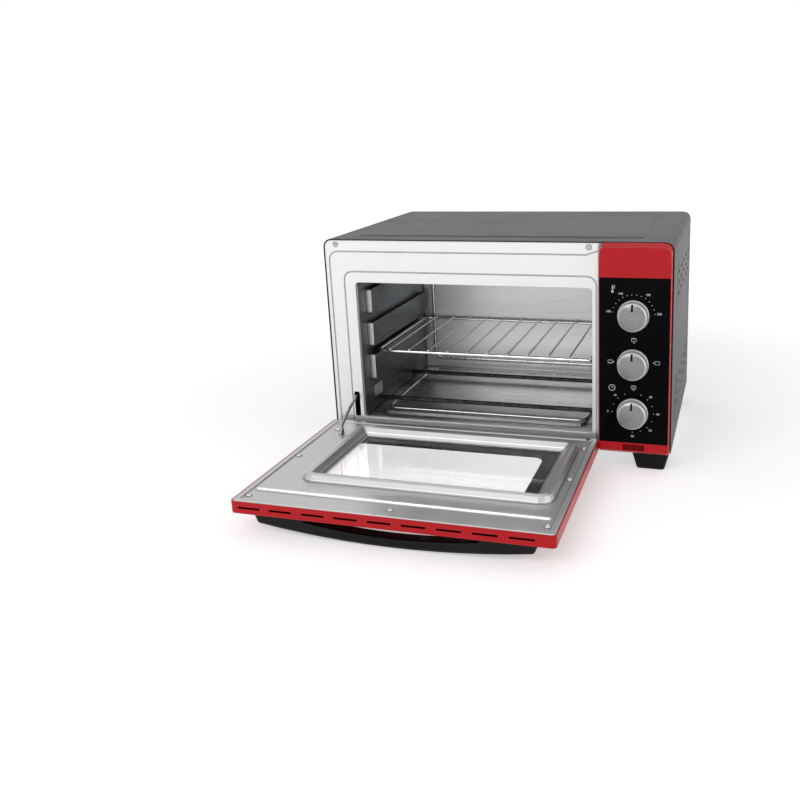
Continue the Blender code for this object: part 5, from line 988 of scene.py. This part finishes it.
def plate_prism(bm, outline):
    """Thin flat shape on the plate, from an outline of x and z."""
    front = ring_at(bm, (oven_point(x, PRINT_Y - PRINT_THICK, z) for x, z in outline))
    back = ring_at(bm, (oven_point(x, PRINT_Y, z) for x, z in outline))
    bm.faces.new(front)
    bm.faces.new(back[::-1])
    bridge(bm, (front, back))


def on_scale(centre, angle, radius):
    """Place on a scale, at an angle in degrees turned clockwise from the top."""
    turn = math.radians(angle)
    return (centre[0] + radius * math.sin(turn), centre[1] + radius * math.cos(turn))


def plate_disc(bm, centre, radius, steps=16):
    """Round dot on the plate."""
    plate_prism(bm, [on_scale(centre, 360 * k / steps, radius) for k in range(steps)])


def plate_ring(bm, centre, radius, width, steps=32):
    """Thin ring on the plate."""
    for k in range(steps):
        first, last = 360 * k / steps, 360 * (k + 1) / steps
        ends = ((first, radius), (last, radius), (last, radius - width), (first, radius - width))
        plate_prism(bm, [on_scale(centre, angle, out) for angle, out in ends])


def plate_lines(bm, place, lines):
    """Straight lines on the plate, given in millimetres from a place."""
    for x0, z0, x1, z1, width in lines:
        first = Vector(place) + Vector((x0, z0)) * MM
        last = Vector(place) + Vector((x1, z1)) * MM
        along = (last - first).normalized()
        side = Vector((-along.y, along.x)) * width * MM / 2
        plate_prism(bm, (first + side, last + side, last - side, first - side))


def rounded(rect, radius, steps=10):
    """Outline of a rectangle with round corners."""
    left, right, low, high = rect
    outline = []
    for x, y, first in ((right, high, 0), (left, high, 90), (left, low, 180), (right, low, 270)):
        middle_x = x - math.copysign(radius, x - (left + right) / 2)
        middle_y = y - math.copysign(radius, y - (low + high) / 2)
        for step in range(steps + 1):
            angle = math.radians(first + 90 * step / steps)
            outline.append(
                (middle_x + radius * math.cos(angle), middle_y + radius * math.sin(angle))
            )
    return outline


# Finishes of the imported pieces

FINISHED_NODES = {
    "casing": ("outer_casing", "back_plate"),
    "frame": ("front_frame",),
    "cavity": ("cavity_left_wall", "cavity_right_wall"),
    "cavity_back": ("cavity_back_wall", "cavity_roof"),
    "cavity_floor": ("cavity_floor",),
    "pan": ("door_inner_pan",),
    "plated": ("base_plate", "wall_bracket", "heat_shield", "timer_body", "timer_bell"),
    "blackened": ("glass_retainer",),
    "screw": ("bracket_screw",),
    "rod": ("heater_lower_front", "heater_lower_back", "heater_upper_front", "heater_upper_back"),
    "ceramic": ("thermostat_body", "terminal_block", "indicator_lamp"),
    "red_paint": ("door_shell",),
    "red_plastic": ("control_fascia",),
    "plate": ("control_plate",),
    "lens": ("indicator_lens",),
    "glass": ("outer_glass", "inner_glass"),
    "handle": ("door_handle",),
    "foot": (
        "function_switch", "cord_gland", "foot_front_left", "foot_front_right", "foot_back_left",
        "foot_back_right",
    ),
    "steel": (
        "hinge_bracket_left", "hinge_bracket_right", "hinge_pin_left", "hinge_pin_right",
        "stay_rivet", "stay_arm", "thermostat_shaft", "function_shaft", "timer_shaft",
    ),
}


class OVEN_OT_finishes(bpy.types.Operator):
    """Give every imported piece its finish"""

    bl_idname = "mini_oven.finishes"
    bl_label = "Finish the Packed Pieces"

    def execute(self, context):
        for finish, names in FINISHED_NODES.items():
            for name in names:
                node = frame["nodes"].get(name)
                if node is None:
                    raise RuntimeError("The packed model has no piece named " + name)
                dress_mesh(node.data, finish)
        return {"FINISHED"}


class OVEN_OT_knobs(bpy.types.Operator):
    """Turn the three silver knobs with their black pointers"""

    bl_idname = "mini_oven.knobs"
    bl_label = "Make the Knobs"

    def execute(self, context):
        for name, height in KNOB_HEIGHTS.items():
            body = name + "_control"
            back = oven_point(KNOB_X, KNOB_BACK_Y, height)
            knob = finish_piece(
                name + "_turned_knob", self.turned(back), "knob", body,
                KNOB_SHARP_ANGLE,
            )
            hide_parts(name + "_knob")
            finish_piece(name + "_pointer", self.pointer(back), "pointer", body)
        return {"FINISHED"}

    def turned(self, back):
        """Body of a knob, its outline turned about the axis through the middle of its back."""
        bm = bmesh.new()
        rings = []
        for radius, height in KNOB_OUTLINE:
            points = round_points(radius, KNOB_TURNS) if radius else [(0.0, 0.0)]
            rings.append(ring_at(bm, (back + Vector((x, -height, z)) * MM for x, z in points)))
        bridge(bm, rings)
        return bm

    def pointer(self, back):
        """Thin black line that follows the knob's crowned face."""
        bm = bmesh.new()
        rows = []
        for step in range(POINTER_STEPS + 1):
            radius = POINTER_IN + (POINTER_OUT - POINTER_IN) * step / POINTER_STEPS
            half = POINTER_HALF * (POINTER_END_SHARE if step in (0, POINTER_STEPS) else 1.0)
            bottom = self.face_height(radius) - POINTER_SINK
            top = self.face_height(radius) + POINTER_PROUD
            corners = ((-half, bottom), (-half, top), (half, top), (half, bottom))
            rows.append(ring_at(bm, (
                back + Vector((side, -height, radius)) * MM for side, height in corners
            )))
        bridge(bm, rows)
        bm.faces.new(rows[0])
        bm.faces.new(rows[-1][::-1])
        return bm

    def face_height(self, radius):
        """Height of the knob's face above its back at a distance from its axis."""
        for (r0, h0), (r1, h1) in zip(KNOB_CROWN, KNOB_CROWN[1:]):
            if r1 <= radius <= r0:
                return h0 + (h1 - h0) * (r0 - radius) / (r0 - r1)
        raise RuntimeError("The pointer runs past the face of the knob")


class OVEN_OT_rack(bpy.types.Operator):
    """Bend and weld the bright wire rack"""

    bl_idname = "mini_oven.rack"
    bl_label = "Make the Wire Rack"

    def execute(self, context):
        low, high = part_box("wire_rack")
        level = low.z + RACK_FRAME_RADIUS
        rect = (
            low.x + RACK_FRAME_RADIUS, high.x - RACK_FRAME_RADIUS,
            low.y + RACK_FRAME_RADIUS, high.y - RACK_FRAME_RADIUS,
        )
        around = [(x, y, level) for x, y in rounded(rect, RACK_CORNER, RACK_CORNER_STEPS)]
        loop = wire_piece(
            "rack_loop", [around], RACK_FRAME_RADIUS, "chrome", "rack"
        )
        wire_level = level + RACK_FRAME_RADIUS + RACK_WIRE_RADIUS - RACK_WELD_SINK
        front, back = low.y + RACK_WIRE_RADIUS, high.y - RACK_WIRE_RADIUS
        places = (RACK_FIRST_X + index * RACK_PITCH for index in range(RACK_WIRES))
        wires = wire_piece(
            "rack_wires", [((x, front, wire_level), (x, back, wire_level)) for x in places],
            RACK_WIRE_RADIUS, "chrome", "rack", closed=False, resolution=2,
        )
        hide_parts("wire_rack")
        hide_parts("wire_rack")
        return {"FINISHED"}


class OVEN_OT_beads(bpy.types.Operator):
    """Press the round beads into the back wall and the floor of the cavity"""

    bl_idname = "mini_oven.beads"
    bl_label = "Press the Cavity Beads"

    def execute(self, context):
        low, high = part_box("cavity_back_wall")
        sides = (low.x + BEAD_MARGIN, high.x - BEAD_MARGIN)
        outline = rounded((*sides, low.z + BEAD_MARGIN, high.z - BEAD_MARGIN), BEAD_CORNER)
        self.bead("back_wall_bead", [(x, low.y + BEAD_SINK, z) for x, z in outline])
        low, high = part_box("cavity_floor")
        sides = (low.x + BEAD_MARGIN, high.x - BEAD_MARGIN)
        outline = rounded((*sides, low.y + BEAD_FRONT, high.y - BEAD_MARGIN), BEAD_CORNER)
        self.bead("floor_bead", [(x, y, high.z - BEAD_SINK) for x, y in outline])
        return {"FINISHED"}

    def bead(self, name, outline):
        """One round bead along a closed outline."""
        wire_piece(name, [outline], BEAD_RADIUS, "bead", "root")


def limited(value):
    """Value kept between 0 and 1."""
    return max(0.0, min(1.0, value))


def screw_head(name, outline, recess, finish):
    """Mesh of a screw with a cross recess, along +Z from its seat, and its head's height."""
    sections = [(SHANK_RADIUS, -SHANK_LENGTH), (SHANK_RADIUS, 0.0)]
    for (r0, h0), (r1, h1) in zip(outline, outline[1:]):
        parts = 1 if r0 > CROSS_FIELD else CROSS_SECTIONS
        for k in range(parts):
            share = k / parts
            sections.append((r0 + (r1 - r0) * share, h0 + (h1 - h0) * share))
    bm = bmesh.new()
    rings = []
    for radius, height in sections:
        points = []
        for x, y in round_points(radius, SCREW_TURNS):
            across, along = sorted((abs(x), abs(y)))
            side = limited((CROSS_WIDTH + CROSS_SLOPE - across) / CROSS_SLOPE)
            end = limited((CROSS_LENGTH - along) / CROSS_RUN_OUT)
            drop = recess * side * end if height > 0 else 0.0
            points.append(Vector((x, y, height - drop)) * MM)
        rings.append(ring_at(bm, points))
    top = outline[-1][1]
    rings.append(ring_at(bm, [Vector((0, 0, top - recess)) * MM]))
    bridge(bm, rings)
    bm.faces.new(rings[0][::-1])
    return dress_mesh(outward_mesh(name, bm), finish, SCREW_SHARP_ANGLE), top * MM


class OVEN_OT_screws(bpy.types.Operator):
    """Set every screw that shows, with a cross recess in its head"""

    bl_idname = "mini_oven.screws"
    bl_label = "Set the Screws"

    def execute(self, context):
        depth = context.scene.oven_sizes.cross_depth
        rounds = screw_head("round_head_screw", ROUND_HEAD, depth / MM, "screw")
        flats = screw_head("flat_head_screw", FLAT_HEAD, FLAT_HEAD_RECESS, "steel")
        up = Matrix.Identity(3)
        forward = Matrix.Rotation(math.pi / 2, 3, "X")
        backward = Matrix.Rotation(-math.pi / 2, 3, "X")
        for number in range(1, DOOR_SCREWS + 1):
            angle = DOOR_SCREW_STEP * number
            self.set_screw("door_screw_%d" % number, rounds, up, "door", "dark_steel", angle)
        for side in ("left", "right"):
            self.set_screw(
                "handle_screw_" + side, rounds, up, "door", "plated_steel", HANDLE_SCREW_ANGLE
            )
            self.set_screw(
                "frame_screw_" + side, flats, forward, "root", "dark_steel", FRAME_SCREW_ANGLE
            )
        for index, (x, z) in enumerate(BACK_SCREWS):
            place = oven_point(x * MM, BACK_FACE_Y, z * MM)
            matrix = self.driven(place, backward, BACK_SCREW_STEP * index)
            name = "back_screw_%d" % (index + 1)
            place_piece(name, rounds[0], "root", matrix)
        return {"FINISHED"}

    def set_screw(self, node, head, turn, body, slot, angle):
        """Screw in place of a packed one, its head on the same seat."""
        mesh, height = head
        low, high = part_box(node)
        way = turn @ Vector((0, 0, 1))
        reach = abs((high - low).dot(way)) / 2 - height
        matrix = self.driven((low + high) / 2 + way * reach, turn, angle)
        piece = place_piece(node + "_head", mesh, body, matrix)
        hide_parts(node)

    def driven(self, place, turn, angle):
        """Where a screw stands, turned by an angle about its own axis."""
        spin = Matrix.Rotation(math.radians(angle), 3, "Z")
        return Matrix.Translation(place) @ (turn @ spin).to_4x4()


class OVEN_OT_marks(bpy.types.Operator):
    """Print the scales, numbers and symbols on the black plate"""

    bl_idname = "mini_oven.marks"
    bl_label = "Print the Plate"

    def execute(self, context):
        sizes = context.scene.oven_sizes
        for name, dial in DIALS.items():
            self.scale(name + "_scale", *dial[:4], sizes.dot_radius)
        for name, dial in DIALS.items():
            self.numbers(name + "_numbers", *dial, sizes.number_size)
        self.thermometer()
        self.clock()
        self.functions()
        return {"FINISHED"}

    def print_piece(self, name, bm):
        """Marks printed on the plate."""
        finish_piece(name, bm, "marks", "root")

    def scale(self, name, knob, first, last, count, radius):
        """Dots at equal steps round a knob, with a gap at the top where one would stand."""
        bm = bmesh.new()
        centre = (KNOB_X, KNOB_HEIGHTS[knob])
        for index in range(count):
            angle = first + (last - first) * index / (count - 1)
            if abs(angle) > SCALE_GAP_ANGLE:
                plate_disc(bm, on_scale(centre, angle, SCALE_RADIUS), radius)
        self.print_piece(name, bm)

    def numbers(self, name, knob, first, last, count, numbers, size):
        """Plain numbers outside the dots."""
        bm = bmesh.new()
        centre = (KNOB_X, KNOB_HEIGHTS[knob])
        for index, words in numbers:
            angle = first + (last - first) * index / (count - 1)
            x, z = on_scale(centre, angle, NUMBER_RADIUS)
            curve = bpy.data.curves.new("number", "FONT")
            curve.body = words
            curve.size = size
            curve.align_x = "CENTER"
            curve.align_y = "CENTER"
            curve.extrude = PRINT_THICK / 2
            curve.offset = NUMBER_BOLD / 2
            curve.resolution_u = 3
            mesh = curve_mesh("number", curve)
            place = oven_point(x, PRINT_Y - PRINT_THICK / 2, z)
            mesh.transform(Matrix.Translation(place) @ Matrix.Rotation(math.pi / 2, 4, "X"))
            bm.from_mesh(mesh)
            bpy.data.meshes.remove(mesh)
        self.print_piece(name, bm)

    def thermometer(self):
        """Thermometer symbol beside the upper knob."""
        x, z = THERMOMETER_PLACE
        bm = bmesh.new()
        for rise, radius, steps in THERMOMETER_DOTS:
            plate_disc(bm, (x, z + rise * MM), radius * MM, steps)
        plate_lines(bm, THERMOMETER_PLACE, THERMOMETER_LINES)
        self.print_piece("thermometer_symbol", bm)

    def clock(self):
        """Clock symbol beside the lower knob."""
        bm = bmesh.new()
        plate_ring(bm, CLOCK_PLACE, CLOCK_RADIUS, CLOCK_RING_WIDTH)
        plate_lines(bm, CLOCK_PLACE, CLOCK_LINES)
        self.print_piece("clock_symbol", bm)

    def functions(self):
        """Box symbols with their lines of heat, each with a small triangle on one side."""
        bm = bmesh.new()
        for place, angle, heat_lines in FUNCTION_SYMBOLS:
            plate_lines(bm, place, BOX_LINES + heat_lines)
            turn = math.radians(angle)
            along = Vector((math.sin(turn), math.cos(turn)))
            side = Vector((along.y, -along.x))
            away = TRIANGLE_BESIDE if abs(along.x) > 0.5 else TRIANGLE_BELOW
            middle = Vector(place) + along * away
            plate_prism(
                bm, [middle + (along * out + side * over) * MM for out, over in TRIANGLE_CORNERS]
            )
        self.print_piece("function_symbols", bm)


class OVEN_OT_border(bpy.types.Operator):
    """Print the black border on the inside of the outer glass"""

    bl_idname = "mini_oven.border"
    bl_label = "Print the Glass Border"

    def execute(self, context):
        low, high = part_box("outer_glass")
        left, right, near, far = BORDER_WINDOW
        hinge = FRONT_Y + HINGE_Y
        inner = rounded((left, right, hinge - far, hinge - near), BORDER_CORNER)
        edges = (
            low.x + BORDER_EDGE, high.x - BORDER_EDGE, low.y + BORDER_EDGE, high.y - BORDER_EDGE,
        )
        outer = rounded(edges, BORDER_OUTER_CORNER)
        bottom = high.z + BORDER_GAP
        top = bottom + BORDER_THICK
        bm = bmesh.new()
        loops = [
            ring_at(bm, ((x, y, level) for x, y in outline))
            for outline, level in ((outer, bottom), (outer, top), (inner, top), (inner, bottom))
        ]
        bridge(bm, loops + loops[:1])
        finish_piece("glass_border", bm, "border", "door")
        return {"FINISHED"}


class OVEN_OT_stage(bpy.types.Operator):
    """Set the floor, the soft studio light and the camera"""

    bl_idname = "mini_oven.stage"
    bl_label = "Set the Stage"

    def execute(self, context):
        settings = context.scene.oven_stage
        self.floor(settings)
        self.sky(settings)
        for name, (place, aim, size, setting) in LIGHTS.items():
            self.light(name, place, aim, size, getattr(settings, setting))
        self.camera()
        context.scene.view_settings.view_transform = "Standard"
        return {"FINISHED"}

    def seen_by(self, tree, *rays):
        """1 for rays of the named kinds."""
        outputs = tree.nodes.new("ShaderNodeLightPath").outputs
        seen = outputs["Is %s Ray" % rays[0]]
        for ray in rays[1:]:
            seen = math_node(tree, "MAXIMUM", seen, outputs["Is %s Ray" % ray])
        return seen

    def floor(self, settings):
        """Wide pale floor that keeps the shadow, and reads as white behind the oven."""
        bm = bmesh.new()
        bmesh.ops.create_grid(bm, x_segments=8, y_segments=8, size=FLOOR_HALF)
        mesh = bpy.data.meshes.new("studio_floor")
        bm.to_mesh(mesh)
        bm.free()
        floor = new_object("studio_floor", mesh)
        material, tree, shader = start_material("studio_floor", 0.9, Specular_IOR_Level=0.0)
        place = surface_place(tree)
        colour = tuple(settings.floor)
        grain = noise(tree, place, 3.0)
        set_colour(tree, shader, mix_colour(tree, grain, shade(colour, 0.995), colour))
        away = add_node(
            tree, "ShaderNodeVectorMath", operation="LENGTH", in_0=place
        ).outputs["Value"]
        glow = span(tree, away, *FLOOR_GLOW_PLACES, *FLOOR_GLOW)
        seen = times(tree, self.seen_by(tree, "Camera", "Glossy"), glow)
        through = times(tree, self.seen_by(tree, "Transmission"), FLOOR_GLOW_THROUGH_GLASS)
        shader.inputs["Emission Color"].default_value = (1, 1, 1, 1)
        strength = math_node(tree, "MAXIMUM", seen, through)
        tree.links.new(strength, shader.inputs["Emission Strength"])
        mesh.materials.append(material)

    def sky(self, settings):
        """Even light from all round, white where it is seen."""
        world = bpy.data.worlds.new("studio_sky")
        bpy.context.scene.world = world
        world.use_nodes = True
        tree = world.node_tree
        back = tree.nodes["Background"]
        seen = self.seen_by(tree, "Camera", "Transmission", "Glossy")
        strength = span(tree, seen, 0.0, 1.0, settings.sky, 1.0, smooth=False)
        tree.links.new(strength, back.inputs["Strength"])
        back.inputs["Color"].default_value = (1, 1, 1, 1)

    def light(self, name, place, aim, size, power):
        """Rectangular soft light that points at a place."""
        data = bpy.data.lights.new(name, "AREA")
        data.shape = "RECTANGLE"
        data.size, data.size_y = size
        data.energy = power
        light = new_object(name, data)
        light.location = place
        light.rotation_euler = (Vector(aim) - Vector(place)).to_track_quat("-Z", "Y").to_euler()

    def camera(self):
        """Camera at the photograph's viewing angle."""
        data = bpy.data.cameras.new("camera")
        camera = new_object("camera", data)
        camera.location = CAMERA_PLACE
        camera.rotation_euler = Euler([math.radians(part) for part in CAMERA_TURN], "XYZ")
        data.sensor_width = CAMERA_SENSOR
        data.lens = CAMERA_LENS
        data.shift_x, data.shift_y = CAMERA_SHIFT
        data.clip_start, data.clip_end = CAMERA_CLIP
        bpy.context.scene.camera = camera


OPERATORS = (
    OVEN_OT_finishes, OVEN_OT_knobs, OVEN_OT_rack, OVEN_OT_beads, OVEN_OT_screws, OVEN_OT_marks,
    OVEN_OT_border, OVEN_OT_stage,
)


class OVEN_PT_panel(bpy.types.Panel):
    """Buttons and settings of the mini oven"""

    bl_idname = "OVEN_PT_panel"
    bl_label = "Mini Oven"
    bl_space_type = "VIEW_3D"
    bl_region_type = "UI"
    bl_category = "Mini Oven"

    def draw(self, context):
        layout = self.layout
        scene = context.scene
        for group in (scene.oven_colours, scene.oven_sizes, scene.oven_stage):
            box = layout.box()
            for name in group.__annotations__:
                box.prop(group, name)
        for operator in OPERATORS:
            layout.operator(operator.bl_idname)


CLASSES = (OvenColours, OvenSizes, OvenStage, *OPERATORS, OVEN_PT_panel)


def register():
    """Registers the classes and hangs the settings on the scene."""
    for cls in CLASSES:
        bpy.utils.register_class(cls)
    bpy.types.Scene.oven_colours = bpy.props.PointerProperty(type=OvenColours)
    bpy.types.Scene.oven_sizes = bpy.props.PointerProperty(type=OvenSizes)
    bpy.types.Scene.oven_stage = bpy.props.PointerProperty(type=OvenStage)


def unregister():
    """Takes the settings and the classes away again."""
    del bpy.types.Scene.oven_stage
    del bpy.types.Scene.oven_sizes
    del bpy.types.Scene.oven_colours
    for cls in reversed(CLASSES):
        bpy.utils.unregister_class(cls)


def main():
    """Dresses the oven."""
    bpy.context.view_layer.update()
    register()
    bpy.ops.mini_oven.finishes()
    bpy.ops.mini_oven.knobs()
    bpy.ops.mini_oven.rack()
    bpy.ops.mini_oven.beads()
    bpy.ops.mini_oven.screws()
    bpy.ops.mini_oven.marks()
    bpy.ops.mini_oven.border()
    bpy.ops.mini_oven.stage()


if __name__ == "__main__":
    main()
